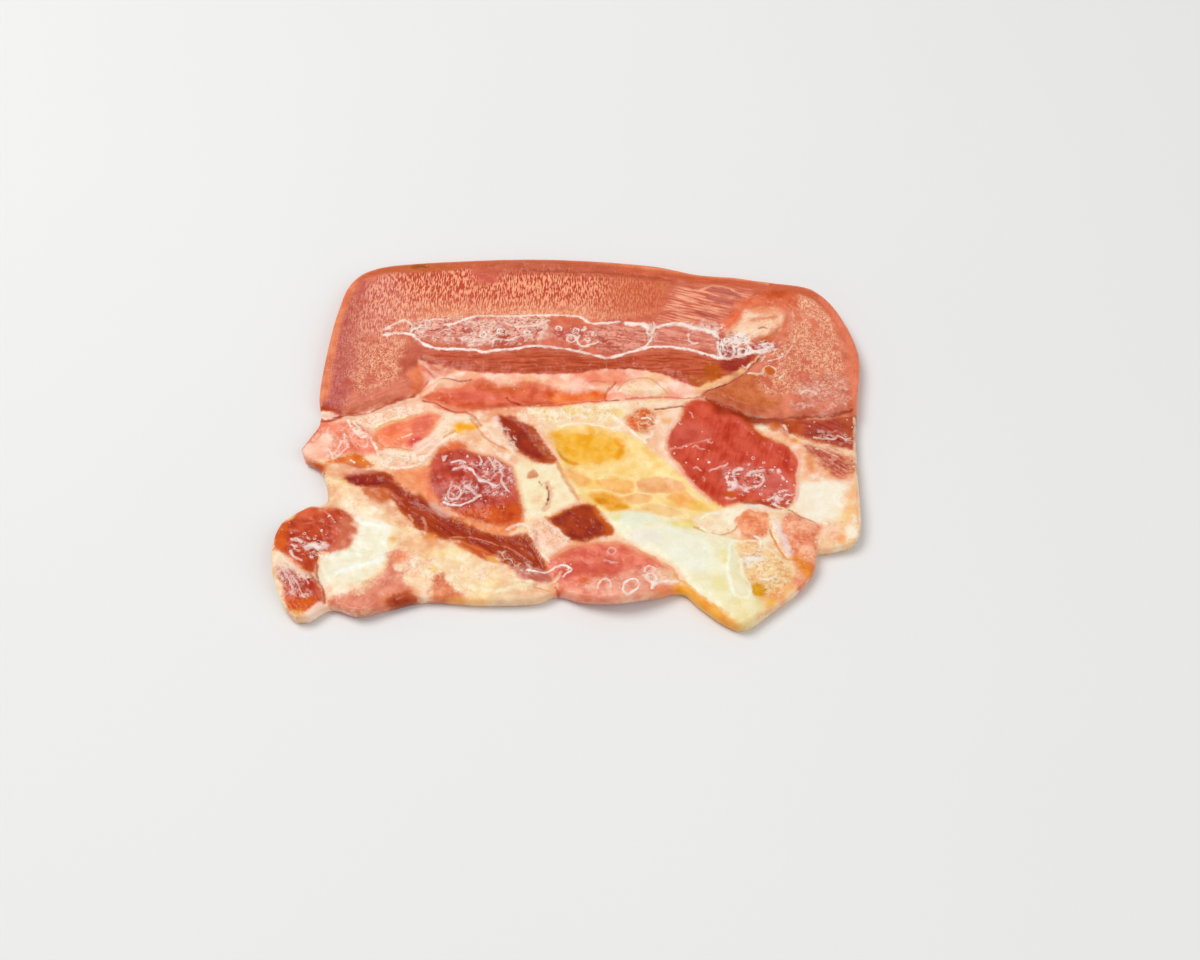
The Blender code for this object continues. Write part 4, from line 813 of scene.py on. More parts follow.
# Dark lines of painted shade in slits, cracks and under edges, with a few stains and paler lines among them.
SHADOW_LINES = [
    # painted shade in the slit under the band's left leg
    Line((186, 66, 42), 0.55, [(-69.4, 8.6), (-67, 8.2), (-64.6, 8.8), (-63.4, 10.2), (-63.8, 11.6),
         (-66, 12.4), (-68.6, 13)], 0.9),
    Line((176, 34, 30), 0.8, [(-64.4, 9.6), (-63.4, 10.8), (-62.4, 11.2)], 0.9),
    Line((188, 74, 48), 0.45, [(-62.6, 11.3), (-58, 11.2), (-55, 12), (-53, 13.4), (-50, 15), (-46, 16.5),
         (-43, 17.5)], 0.9),
    Line((206, 100, 62), 0.4, [(-43, 17.6), (-41.4, 20), (-39.6, 23)], 0.7),
    Line((176, 60, 40), 0.4, [(-40.4, 15), (-37, 14.2), (-34.6, 12.4), (-31, 10.8)], 0.75),
    Line((196, 74, 46), 0.4, [(-31, 10.9), (-28.4, 10.9), (-26, 9.4), (-24, 6.4)], 0.6),
    Line((150, 84, 60), 0.3, [(-36.4, 23.4), (-33, 22.9), (-30, 22.4), (-27, 22.9)], 0.75),
    Line((226, 156, 60), 0.35, [(-53, 5.4), (-49.6, 7.4), (-46, 8.6), (-42, 10)], 0.7),
    Line((176, 46, 40), 0.5, [(-17, 16.6), (-15.6, 15), (-13.6, 13.8)], 0.85),
    Line((206, 86, 70), 0.3, [(-13.6, 13.7), (-6, 13.4), (0, 14), (6, 14.9), (9.6, 15.9)], 0.75),
    Line((168, 70, 40), 0.3, [(10.4, 15.9), (12, 16), (14, 16)], 0.85),
    Line((206, 82, 34), 0.5, [(13.2, 22), (12.4, 20), (11, 18.6), (10.4, 16.8)], 0.8),
    Line((222, 120, 90), 0.35, [(6, 21.8), (8, 22.2), (10.6, 22)], 0.8),
    Line((214, 116, 92), 0.4, [(16.4, 16.8), (22, 17.2), (28, 17.2), (33, 16.8), (38, 17)], 0.85),
    Line((224, 160, 116), 0.35, [(14, 19.4), (17, 22.4), (22, 23.4), (25, 21.6), (28.4, 17.8)], 0.7),
    Line((164, 92, 40), 0.35, [(24.4, 12.3), (27, 12.4), (29.4, 13), (32.4, 13.4)], 0.9),
    Line((176, 108, 60), 0.3, [(29.4, 13), (31, 13.2), (33, 13)], 0.7),
    # between the rind and the speckled muscle
    Line((172, 76, 50), 0.45, [(-14, 63.4), (0, 63), (12, 62.5), (22, 61.2), (30, 60)], 0.6),
    # a brown stain on the rind
    Line((150, 84, 10), 0.9, [(-46.2, 65.4), (-44.4, 65.6), (-42.8, 65.4)], 0.95),
    # painted shadow along and under the bent tip's edge
    Line((150, 60, 44), 0.32, [(38, 18), (41, 19.4), (44, 20.6), (47, 22.4), (50, 25.2), (53, 28.6),
         (55.4, 31)], 0.85),
    Line((150, 56, 36), 0.42, [(39, 16.6), (44, 13.8), (48, 11.6), (51, 9.8), (54.4, 8.7), (60, 8.6),
         (68, 8.9), (74, 9.6), (79, 11)], 0.75),
    # cracks and folds in the fat, the dark ones holding painted shade
    Line((136, 56, 46), 0.5, [(-5.2, -14.6), (-4.7, -16.6), (-4.9, -18.6), (-5.4, -20.6)], 1.0),
    Line((222, 148, 116), 0.9, [(-5.4, -13.4), (-4.4, -16), (-4.6, -19), (-5.8, -22)], 0.6),
    Line((150, 120, 96), 0.3, [(-7.4, -12.8), (-6.8, -14)], 0.8),
    Line((170, 110, 80), 0.26, [(59.6, -22), (62, -24), (64.4, -25.2), (66.4, -26)], 0.7),
    Line((168, 60, 34), 0.35, [(-65.3, -36), (-65, -40), (-64.4, -43.4), (-62.6, -47), (-62, -50.6)], 0.75),
    Line((166, 84, 52), 0.3, [(-66, -9.8), (-66.2, -11.6), (-66, -13.6)], 0.8),
    Line((214, 132, 84), 0.35, [(-27, 8.6), (-25, 6), (-23, 2.6), (-20, 0.2), (-17, -1.6)], 0.7),
    Line((222, 150, 88), 0.35, [(-34, 2.2), (-32.4, 3.4), (-31, 4.8)], 0.8),
    Line((224, 154, 98), 0.75, [(-2.4, -6.4), (-1.4, -9.4), (0.4, -13.4), (3.2, -18.2)], 0.8),
    Line((232, 150, 104), 0.4, [(-4, -37.8), (-2, -35.8), (2, -33.4), (8, -32.6), (14, -32.8), (18, -34.2),
         (24, -38.4), (28, -41.4), (29.6, -44.6)], 0.7),
    Line((226, 138, 50), 0.4, [(54, -29), (55, -32.4), (56.4, -36), (58, -38), (61, -38.6), (62.4, -40.6)],
         0.85),
    Line((212, 150, 90), 0.3, [(34, -27.4), (38, -29.2), (41.6, -29.8), (44.6, -28.4), (46, -26.6)], 0.7),
    Line((216, 152, 108), 0.28, [(-11.4, -44.6), (-9.4, -45.2), (-7.6, -45.6)], 0.8),
    Line((222, 150, 110), 0.28, [(-8, -46.4), (-5.6, -47), (-4, -47.4)], 0.7),
    Line((176, 70, 50), 0.4, [(-1.4, -49), (-1.8, -47.4), (-2.6, -46)], 0.7),
    Line((210, 128, 90), 0.25, [(-52.6, 1.4), (-50, -0.8), (-46, -1.2), (-43, -2), (-41, -1)], 0.6),
    Line((196, 96, 60), 0.3, [(-61, 4.6), (-60, 1.4), (-59, -0.6)], 0.6),
    Line((226, 140, 100), 0.3, [(-72, 2.4), (-70, 0.6), (-68.6, 2.4), (-68.2, 4.6)], 0.7),
    Line((206, 96, 66), 0.4, [(-73.4, -2.6), (-71, 1.6), (-69.4, 5)], 0.6),
    Line((170, 110, 84), 0.3, [(55, 41.6), (56.4, 41.9), (57.4, 41.6)], 0.8),
    Line((204, 118, 86), 0.35, [(78.7, -4), (78.3, -12), (77.8, -20), (77.4, -27)], 0.45),
    Line((214, 130, 92), 0.3, [(-9.6, -30.4), (-8, -28.4), (-7.6, -32)], 0.6),
]

# Pale membranes, septa and streaks, with a few painted highlights among them.
VEINS_AND_PAINTED_GLOSS = [
    # pale membranes
    Line((255, 236, 218), 0.5, [(-61, 8.4), (-59.4, 5), (-57, 2.6), (-54.8, 2.4), (-53.2, 0), (-52, -3),
         (-51, -5), (-49.4, -7.4), (-46.6, -8.2), (-43, -7.8), (-40, -6.6), (-38.2, -4), (-36, -1),
         (-33.4, 1.8), (-31, 3.4)], 0.95),
    Line((254, 226, 204), 0.4, [(-52, -2.4), (-47, -2.7), (-42, -3.2), (-39, -1.2), (-36, 2), (-34, 5.4),
         (-31, 8.6), (-28, 8.8)], 0.9),
    Line((255, 232, 210), 0.9, [(-42, -1), (-38.6, 1.2), (-36, 4.4), (-34, 7.2), (-31, 9)], 0.7),
    Line((252, 220, 190), 0.7, [(-21.4, 4.6), (-19.6, 2), (-17, 0), (-15, -2.4)], 0.8),
    Line((250, 214, 196), 0.9, [(-20, 9), (-19, 6.4), (-17.6, 3.4), (-16, 0.6), (-14.4, -1.6)], 0.75),
    Line((250, 200, 170), 0.5, [(-9, 5.6), (-7, 3), (-5.2, 0), (-3, -3.4), (-1.8, -6)], 0.85),
    Line((255, 240, 206), 0.5, [(-2, 6.2), (3, 7), (8, 6.4), (13, 5.2)], 0.85),
    Line((255, 244, 224), 0.45, [(12.6, 9.6), (14.6, 7.6), (17, 5), (19.4, 2.4), (21.6, 0.2)], 0.9),
    Line((252, 224, 172), 0.35, [(7, -10.4), (12, -10), (17.6, -11), (18.6, -13.4), (18.4, -15.6),
         (15, -17), (11, -15.4), (7, -15)], 0.85),
    Line((252, 224, 180), 0.35, [(18.5, -15.8), (24, -16.6), (28, -16.4), (26, -17.6), (24, -19),
         (20, -20)], 0.85),
    Line((252, 222, 174), 0.35, [(24, -18.8), (27, -20.4), (30, -21.4), (33, -23.8)], 0.8),
    Line((252, 222, 178), 0.35, [(32.6, -16), (36, -19), (40, -21.6)], 0.7),
    # septa in the lean
    Line((236, 146, 130), 0.4, [(28, -2), (31, -1), (34, 0.1), (37, 1), (39.6, 1.9)], 0.9),
    Line((244, 170, 150), 0.55, [(27.4, 2), (27.2, -1.6), (28.6, -5), (31, -9), (34.6, -14.4),
         (38.6, -18.8)], 0.8),
    Line((248, 192, 172), 0.5, [(31.4, 9), (29, 6), (27.6, 3)], 0.8),
    Line((248, 186, 170), 0.5, [(62.6, -2.8), (63.6, -6), (62.8, -10), (62.4, -15), (61.6, -19)], 0.85),
    Line((250, 206, 176), 0.6, [(61, 3.4), (64, 1.2), (67, 0), (71, -1.4), (75, -3), (79.4, -4.6)], 0.85),
    Line((250, 214, 190), 0.4, [(59.8, 6.4), (60.6, 5), (61.2, 3)], 0.8),
    Line((250, 210, 176), 0.6, [(79.8, 9), (79.5, 3), (78.8, -4), (78.5, -12), (78.2, -20), (77.8, -27)],
         0.85),
    Line((216, 120, 104), 0.25, [(-40, -19.6), (-36, -21.8), (-31, -24.6)], 0.6),
    Line((222, 132, 104), 0.3, [(-30.6, -31), (-26, -30.8), (-22, -31.6), (-18, -33.4)], 0.8),
    Line((214, 124, 108), 0.25, [(-16, -33.4), (-12, -36), (-8.6, -39)], 0.7),
    Line((216, 126, 110), 0.25, [(-9.6, -33), (-7.6, -36.4), (-6, -40)], 0.75),
    Line((214, 116, 96), 0.25, [(-53, -14.6), (-49, -15.4), (-46, -17.8), (-43, -21)], 0.75),
    Line((212, 120, 104), 0.22, [(-56, -14.2), (-52, -14), (-48, -15.6), (-44, -18.6)], 0.5),
    Line((230, 150, 120), 0.4, [(-38.4, -24.4), (-37.4, -26.4), (-37, -28.6)], 0.75),
    Line((232, 156, 128), 0.35, [(-42, -23.6), (-41, -25.6), (-41.4, -27.4)], 0.8),
    Line((232, 140, 116), 0.3, [(-66, -22.2), (-64, -23), (-61.8, -25.6)], 0.8),
    Line((226, 110, 84), 0.3, [(-68, -24.6), (-67, -26), (-69.4, -27)], 0.6),
    Line((224, 124, 98), 0.3, [(-73, -29), (-70.6, -29.4)], 0.6),
    # paler streaks in the muscle band
    Line((244, 168, 138), 0.4, [(39, 56.2), (42, 57.6), (45.4, 57.2), (49, 55.4), (52, 53.6)], 0.9),
    Line((240, 156, 112), 0.45, [(47.4, 61.4), (51, 61), (55, 59.2), (58.4, 57.6)], 0.85),
    Line((236, 146, 118), 0.35, [(40.6, 51), (44, 50.2), (47.4, 48.4)], 0.8),
    Line((234, 150, 124), 0.3, [(30, 47.4), (34, 46.4), (38, 45.4), (42, 43.4)], 0.8),
    Line((232, 146, 118), 0.3, [(31, 44.8), (35, 44), (39, 42.8)], 0.8),
    Line((216, 112, 78), 0.3, [(24, 30.4), (30, 30.6), (36, 29.6), (41, 28)], 0.8),
    Line((212, 106, 74), 0.3, [(26, 28), (32, 28), (38, 26)], 0.7),
    Line((222, 116, 86), 0.3, [(-30, 29.6), (-22, 29), (-12, 29.6), (0, 30)], 0.5),
    # pale edge of the flap of fat beside the tip
    Line((250, 196, 142), 0.9, [(36.4, 19), (40, 20.6), (44, 22.6), (47, 24.2), (50, 26.4)], 0.95),
    Line((250, 186, 150), 0.4, [(50, 26.2), (52.6, 28.8), (54.6, 31)], 0.85),
    Line((250, 204, 168), 0.9, [(-40.6, 18), (-38.6, 20.4), (-36, 21.8), (-33, 21.4)], 0.85),
    Line((248, 186, 166), 0.6, [(-42.4, 29.4), (-40.6, 27.6), (-38.6, 25.6), (-36, 25)], 0.9),
    Line((206, 96, 82), 0.25, [(-41.4, 27.4), (-39.6, 25.6), (-38, 23.8)], 0.8),
    Line((206, 100, 84), 0.25, [(-40, 28.6), (-38.4, 27), (-36.6, 26.4)], 0.7),
    # painted highlights on the lobe's fat
    Line((250, 252, 244), 1.2, [(-55, -25), (-52, -26.4), (-49.6, -26.6), (-47.4, -28)], 0.7),
    Line((249, 252, 244), 1.0, [(-59.6, -42), (-55.6, -39.8), (-51.6, -39), (-48, -37.6)], 0.75),
    Line((244, 250, 232), 1.4, [(-61, -36.6), (-57, -36), (-53.6, -35.6)], 0.6),
    # gland and folds
    Line((242, 218, 210), 0.95, [(55.4, -26.6), (56.4, -29), (57.6, -32), (58.4, -35), (58.8, -36.6)],
         0.95),
    Line((242, 222, 212), 0.6, [(47.6, -21.4), (50, -20.8), (53, -21.2), (55.6, -22.6)], 0.95),
    Line((246, 208, 172), 0.4, [(56.6, -21), (58.4, -22), (58.2, -24.4), (56.8, -26)], 0.85),
    Line((252, 226, 186), 0.45, [(52.6, -34.4), (55, -37), (57.4, -39.4), (59.4, -40.8)], 0.85),
    Line((250, 224, 170), 0.35, [(51.4, -42), (53, -41), (55, -42.2), (54, -44.4), (52, -44.6)], 0.8),
    Line((250, 250, 226), 0.5, [(43.6, -32), (43, -36), (42.5, -40), (42.6, -44), (43.8, -48.6),
         (46, -50.2), (47.8, -49), (47.8, -46), (46.2, -42), (46, -38)], 0.9),
    Line((252, 244, 214), 0.45, [(36, -27.6), (39, -30), (42, -31.4), (46, -32), (50, -32.6)], 0.85),
    Line((250, 226, 206), 0.5, [(-15.6, -28.4), (-13.4, -26.8), (-11, -26.6), (-9.6, -27.8), (-9, -30)],
         0.9),
    Line((252, 232, 212), 0.4, [(-9, -30), (-7.6, -33), (-5.6, -36.6), (-4.2, -38.6)], 0.8),
    Line((252, 240, 206), 0.8, [(-26, -45.6), (-22, -47), (-17, -47.4), (-13, -46), (-9, -44.8)], 0.75),
    Line((252, 220, 188), 0.5, [(-4, -45), (-2.4, -43.6), (-1.4, -42)], 0.7),
    Line((252, 232, 196), 0.4, [(-75.4, -44), (-74.4, -48), (-72, -52), (-69, -55)], 0.8),
    Line((232, 148, 84), 0.5, [(-76, -44), (-75.4, -47.6), (-73.4, -51.6), (-70.4, -54.8)], 0.7),
    Line((254, 226, 196), 0.5, [(-76.8, -35), (-77.2, -31), (-76.4, -27), (-74.4, -24.6), (-71.6, -22)],
         0.8),
    # light right rim of the brown pieces, ragged at the left
    Line((248, 220, 200), 0.8, [(-5.6, -25.6), (-3.4, -27.6), (-1.6, -29.6), (0.4, -31.4)], 0.9),
    Line((232, 140, 76), 0.5, [(-5.6, -24.6), (-4.4, -26.2), (-2.6, -27.4)], 0.7),
    # golden edge of the white fat
    Line((236, 164, 60), 0.5, [(28.6, -43.4), (31, -45.4), (34.6, -48.8), (38, -52), (41.6, -54.6)], 0.6),
    Line((240, 180, 90), 0.8, [(43, -57.8), (46, -57.6), (49, -55), (52.6, -52.4)], 0.6),
]

# Painted highlights: white lines where the wet film catches the light.
PAINTED_HIGHLIGHT_LINES = [
    # the long painted highlight lines along the wet muscle band
    Line((255, 232, 218), 0.4, [(-36, 42.6), (-33, 43), (-28, 45.4), (-25, 46), (-17, 45.9), (-10, 46.2),
         (0, 46), (3.6, 45.4), (5.6, 43.6), (8, 42.9), (11, 43.2), (14.6, 43.8)], 0.95),
    Line((255, 238, 224), 0.75, [(16.6, 42.9), (19, 43), (21.8, 42.6), (22.8, 41)], 0.95),
    Line((252, 232, 216), 0.35, [(22.8, 41), (22.6, 39.6), (24, 38.4), (23.6, 36.6), (22.4, 35)], 0.9),
    Line((252, 232, 216), 0.35, [(24.4, 43.6), (24.6, 41.6), (24.2, 39.6)], 0.85),
    Line((255, 238, 226), 0.7, [(25, 41.6), (28, 42.4), (31, 43), (34, 42.4), (37, 41), (40, 40.2),
         (42.4, 38.4)], 0.95),
    Line((255, 238, 228), 0.5, [(-53.4, 38.6), (-51, 39.2), (-48, 39.4), (-45, 39), (-43.6, 37.2),
         (-41.4, 35.4), (-38.4, 34), (-34, 33.6), (-28, 33.2), (-24.4, 32.4), (-20, 33), (-16, 33.2),
         (-12, 34.1), (-8, 34.4), (-3, 33.6), (2, 32.8), (7, 31.4), (11.6, 30.2), (14, 31), (19, 32.8),
         (22, 34), (27, 34.2), (32, 33.6), (37, 32.2), (42, 30.4), (44.6, 29.6), (47.4, 30), (50, 31),
         (53, 32.4), (56, 33.4), (58.4, 34.6)], 0.97),
    Line((255, 236, 222), 0.7, [(-52.8, 41), (-52, 41.2)], 0.95),
    Line((255, 232, 216), 0.4, [(-52, 41.6), (-50, 43.2), (-48, 44.4), (-46.6, 43.6), (-45.6, 42.6)], 0.9),
    Line((252, 232, 222), 0.4, [(-45.6, 39.6), (-44.8, 41), (-43, 41.6), (-41, 41.4)], 0.9),
    Line((252, 232, 222), 0.35, [(-41.4, 41.6), (-41.6, 43.4), (-40, 44.4), (-37, 44.6)], 0.85),
    Line((250, 226, 212), 0.4, [(-19, 43.6), (-16, 42), (-12, 42), (-9, 42.6), (-6, 44.4)], 0.8),
    Line((250, 226, 214), 0.35, [(-22, 37.6), (-18, 36.6), (-14, 38), (-11, 38.6)], 0.8),
    Line((250, 230, 214), 0.4, [(3, 38.4), (2.4, 36.4), (4, 34.4), (6, 35.2), (8.6, 36.2)], 0.85),
    Line((250, 230, 216), 0.35, [(0, 38.6), (-0.4, 37), (1, 36), (2, 37.4), (1, 38.6), (0, 38.6)], 0.8),
    # loops where the band meets the fat patch
    Line((255, 244, 236), 0.45, [(43, 36), (42.8, 33.4), (43.6, 31), (45, 29.8), (47, 30.4), (47.6, 32.6),
         (47.2, 34.4)], 0.95),
    Line((255, 242, 232), 0.38, [(48.6, 33), (48.8, 31.6), (50.2, 31.2), (51, 32.6), (50, 33.6),
         (48.6, 33)], 0.9),
    Line((255, 240, 230), 0.3, [(44.6, 35.6), (44.2, 33.8), (45, 32.8)], 0.8),
    Line((255, 242, 234), 0.45, [(51.4, 34.8), (52.4, 33), (55, 32.4), (58, 33.4), (58.6, 35), (57.4, 35.8),
         (55, 35)], 0.9),
    Line((255, 240, 230), 0.4, [(40, 40.4), (42.4, 39.4), (43, 37.6)], 0.85),
    Line((252, 232, 220), 0.35, [(34.6, 39), (34.6, 37), (35.4, 35.6), (37, 35.4)], 0.85),
    Line((252, 226, 210), 0.35, [(49.4, 27.4), (50.6, 26.8), (51.6, 27.8)], 0.85),
    # painted glints on the wet bent tip
    Line((255, 232, 206), 0.42, [(51, 24), (53, 23.7), (55, 24)], 0.95),
    Line((252, 218, 180), 0.3, [(55.4, 24.4), (55.6, 26), (57, 26.8), (58.6, 26.2), (59, 24.8)], 0.85),
    Line((255, 226, 204), 0.26, [(57, 28.6), (59.4, 29.2), (61.4, 30.4), (63, 32.4), (64.2, 34.4)], 0.85),
    Line((252, 222, 190), 0.4, [(59.6, 22.2), (60.6, 22.8), (61, 23.6)], 0.9),
    Line((248, 216, 200), 0.5, [(65.6, 17), (67, 17.6), (69.6, 17)], 0.8),
    # on the eye-shaped bundle
    Line((248, 222, 214), 0.5, [(-30.4, -9.2), (-28, -8.6), (-26, -9.2), (-24.8, -11), (-23.2, -12.8),
         (-20.6, -14), (-19, -14.8)], 0.95),
    Line((250, 230, 224), 0.4, [(-33, -19.6), (-31, -20.6), (-28, -20.6), (-25, -19.4), (-23.2, -18)],
         0.95),
    Line((244, 206, 196), 0.35, [(-31.6, -18.6), (-31.8, -16.4), (-30.6, -14.8), (-29, -15.4),
         (-28.4, -17.2), (-29.4, -19), (-31.6, -18.6)], 0.9),
    Line((248, 222, 216), 0.7, [(-27, -15), (-25.4, -16.4), (-24.4, -17.4)], 0.75),
    Line((250, 228, 222), 0.4, [(-31.4, -7), (-29, -6.6), (-27.6, -7.2)], 0.9),
    Line((244, 214, 206), 0.4, [(-34, -4.4), (-33.6, -6), (-33.2, -4.4)], 0.85),
    Line((246, 216, 204), 0.4, [(-18.2, -9.4), (-17.4, -11.4), (-17.6, -13.6), (-16.4, -15.4),
         (-15.4, -16.4)], 0.9),
    Line((248, 220, 206), 0.3, [(-24, -4.4), (-23.2, -6.4), (-23.6, -8)], 0.8),
    Line((248, 222, 208), 0.3, [(-21.6, -4.8), (-20.4, -6.6), (-19.6, -8.6)], 0.85),
    Line((248, 222, 208), 0.3, [(-19.6, -5.4), (-18.2, -7.4), (-17, -8.8)], 0.85),
    # on the lobe
    Line((252, 232, 224), 0.85, [(-68, -34.6), (-66.6, -33.6), (-65, -34.2), (-63.6, -33.6)], 0.95),
    Line((250, 222, 212), 0.5, [(-72, -32.4), (-70.6, -32), (-69.4, -33)], 0.85),
    Line((250, 216, 204), 0.35, [(-72, -36), (-71, -37.6), (-69, -38.6)], 0.75),
    Line((244, 206, 196), 0.3, [(-74, -41.4), (-72, -44), (-70.4, -47), (-69.4, -49.4)], 0.8),
    Line((244, 206, 196), 0.3, [(-72.4, -41.4), (-70.4, -44), (-68.6, -47), (-67.4, -49.4)], 0.8),
    Line((244, 204, 192), 0.3, [(-70.6, -41.6), (-68.4, -43), (-66.4, -45.4)], 0.8),
    # on the big bundle
    Line((248, 218, 208), 0.6, [(45.2, -10.8), (45.6, -9), (47.4, -8.4)], 0.9),
    Line((248, 216, 206), 0.5, [(49.4, -10), (51.4, -9.4), (53.6, -8.6)], 0.85),
    Line((246, 210, 200), 0.45, [(44, -15), (46, -14.4), (49, -15), (51.8, -14)], 0.85),
    Line((246, 212, 202), 0.4, [(45.4, -11), (45.8, -12.8), (46, -14.2)], 0.85),
    Line((246, 210, 200), 0.4, [(53.2, -10.4), (53.4, -12.2), (52.4, -13.8)], 0.8),
    Line((244, 206, 196), 0.35, [(39, -8.8), (41, -8), (44, -6.6)], 0.8),
    Line((246, 214, 204), 0.4, [(54, -18.6), (55.8, -17.6), (57.4, -18.4), (59, -16.8)], 0.85),
    Line((248, 218, 210), 0.5, [(57.6, -8.6), (57.8, -9.4)], 0.85),
    Line((248, 218, 210), 0.45, [(58.6, -11), (58.8, -11.8)], 0.8),
    Line((244, 200, 184), 0.4, [(43, -18), (44, -18.6), (45.4, -18)], 0.8),
    Line((242, 186, 168), 0.3, [(34.4, -1), (35.6, -0.6), (36.4, -1.6), (37.6, -1.6)], 0.8),
    Line((240, 180, 162), 0.3, [(34.6, -8), (35.6, -7.8), (36.4, -9)], 0.85),
    Line((240, 176, 156), 0.3, [(37, -11), (37.4, -12), (37, -12.6)], 0.75),
    Line((240, 176, 156), 0.28, [(38.6, 1.6), (39.6, 0.4)], 0.75),
    Line((236, 168, 148), 0.28, [(34, 11.4), (34.6, 11), (35, 9.6)], 0.75),
    # on the cheek and its margin
    Line((255, 240, 230), 0.38, [(-10, -41), (-8, -41.4), (-6, -41.8), (-4.4, -41.4), (-3, -40.4),
         (-1, -39.8), (0.8, -40.4), (1.6, -41.6), (0.4, -42.4), (-0.6, -43.4)], 0.95),
    Line((255, 240, 228), 0.35, [(15, -47.4), (16, -45.4), (18, -44.8), (19, -46.6), (18, -48.8), (16, -50),
         (15, -49), (15, -47.4)], 0.95),
    Line((252, 232, 218), 0.35, [(21, -43), (22, -42.6), (23.6, -43.6), (23.4, -45), (22, -45.2),
         (21, -44.2), (21, -43)], 0.9),
    Line((255, 240, 226), 0.5, [(20.2, -43.4), (21.6, -44.6), (22.6, -46.4), (22.4, -47.6)], 0.95),
    Line((255, 240, 226), 0.45, [(22.6, -46), (24.6, -45.4), (26.4, -44.8), (29, -44.5)], 0.95),
    Line((250, 226, 214), 0.35, [(20.6, -41.6), (21.6, -40.2), (23.4, -40.6), (23.4, -41.6)], 0.9),
    Line((252, 232, 214), 0.35, [(8.4, -47.6), (9, -45.6), (10.4, -44.4), (11.6, -46), (11.8, -47.6)],
         0.85),
    Line((246, 206, 194), 0.3, [(10.8, -35.4), (11.8, -34.4), (13.2, -35), (12.8, -36.4), (11.4, -36.6),
         (10.8, -35.4)], 0.55),
    Line((246, 206, 194), 0.35, [(10.4, -38.4), (12, -38.9), (13.8, -39)], 0.55),
    # on the root
    Line((255, 240, 224), 0.3, [(-65.8, -1.6), (-64.6, -3.4), (-64, -5)], 0.85),
    Line((255, 236, 218), 0.3, [(-62, 0.6), (-63, -1.8), (-64, -4.4)], 0.85),
    Line((255, 236, 218), 0.3, [(-60.4, -0.6), (-61.6, -3), (-63.4, -5.2)], 0.85),
    Line((255, 232, 216), 0.3, [(-61.6, 3.4), (-61, 1), (-60, -1.4)], 0.8),
    Line((255, 232, 214), 0.35, [(-58, 6), (-57, 4), (-55, 3.2)], 0.8),
    Line((255, 238, 220), 0.35, [(-59.4, 7.8), (-58.4, 6.2), (-57.8, 4.4)], 0.8),
    Line((252, 226, 206), 0.35, [(-66, 6), (-66.4, 3.6), (-65, 1.6)], 0.7),
    Line((255, 236, 226), 0.35, [(-59, -5.8), (-58, -6.4)], 0.85),
    Line((252, 224, 200), 0.3, [(-45.6, 2.4), (-44, 2.8), (-43, 3.4)], 0.75),
    Line((250, 226, 206), 0.3, [(-45.6, -4.4), (-44.2, -4.8), (-44.6, -6)], 0.75),
    Line((246, 222, 200), 0.3, [(68, 2.2), (71, 1.6), (74, 1.8)], 0.75),
    Line((246, 220, 198), 0.3, [(74.6, 2.6), (76.4, 1.6), (78, 1.8)], 0.75),
    Line((240, 204, 184), 0.28, [(68.4, -1.6), (71, -2.6), (73.6, -4.4)], 0.7),
    # in the jelly and white fat
    Line((248, 244, 232), 0.35, [(50, -31), (51.4, -32.6), (51, -34.2)], 0.8),
    Line((250, 232, 200), 0.3, [(49, -34.6), (51, -35.4), (53, -34.8)], 0.75),
    Line((252, 246, 224), 0.3, [(50.4, -43.6), (52.4, -44.6), (54.6, -44)], 0.75),
    Line((252, 246, 226), 0.35, [(36, -25), (38, -23.4), (41, -23)], 0.7),
    Line((255, 244, 220), 0.35, [(-1, 10.6), (1, 9), (3, 10.4), (5, 9)], 0.7),
    Line((255, 244, 224), 0.4, [(-11, 12.4), (-9, 11), (-7, 11.6)], 0.75),
    Line((255, 240, 216), 0.3, [(20.6, 8.8), (22.4, 9), (23.4, 8)], 0.85),
    Line((255, 236, 206), 0.3, [(20.4, 6.6), (22, 6.8), (23.8, 5.4)], 0.8),
]

# (x, y, radius) of single painted highlight rings on the wet film
PAINTED_GLINT_RINGS = [
    (-3, 41.1, 0.8), (2.1, 40.4, 0.8), (4.5, 41, 0.6), (6.4, 39.2, 0.8), (5.4, 37.2, 0.7),
    (43.3, 35.4, 0.9), (-48.6, -5.6, 0.8), (-43.7, -5.2, 0.6), (-39.8, -4.8, 0.7), (45.4, 36.8, 0.8),
    (48, 35.4, 1.2), (-30, 37.4, 0.8), (-24.6, 38.6, 0.9), (-20, 40, 0.7), (-12, 39.6, 0.8),
]
RING_TURNS = [math.radians(turn) for turn in range(0, 361, 45)]


def painted_glint_ring(x, y, radius):
    """One such painted highlight circle, as a line."""
    points = [(x + radius * math.cos(turn), y + radius * math.sin(turn)) for turn in RING_TURNS]
    return Line((255, 238, 226), 0.26, points, 0.95)


# Every level by the name that the material knows it by, in the order in which they are laid.
ROOT_LEVELS = {
    "blush": BLUSH,
    "fats": FATS,
    "cells": CELLS,
    "leans": LEANS,
    "bundles": BUNDLES,
    "shades": SHADES,
    "marks": MARKS,
}
BAND_LEVELS = {"band_base": BAND_BASE, "band_areas": BAND_AREAS}
OTHER_LEVELS = {"strands": STRANDS, "rim_areas": RIM_AREAS, "painted_film": PAINTED_FILM, "painted_glint_dots": PAINTED_GLINT_DOTS}
LINE_LEVELS = {
    "shadow_lines": SHADOW_LINES,
    "veins_and_painted_gloss": VEINS_AND_PAINTED_GLOSS,
    "painted_highlight_lines": PAINTED_HIGHLIGHT_LINES + [painted_glint_ring(*place) for place in PAINTED_GLINT_RINGS],
}

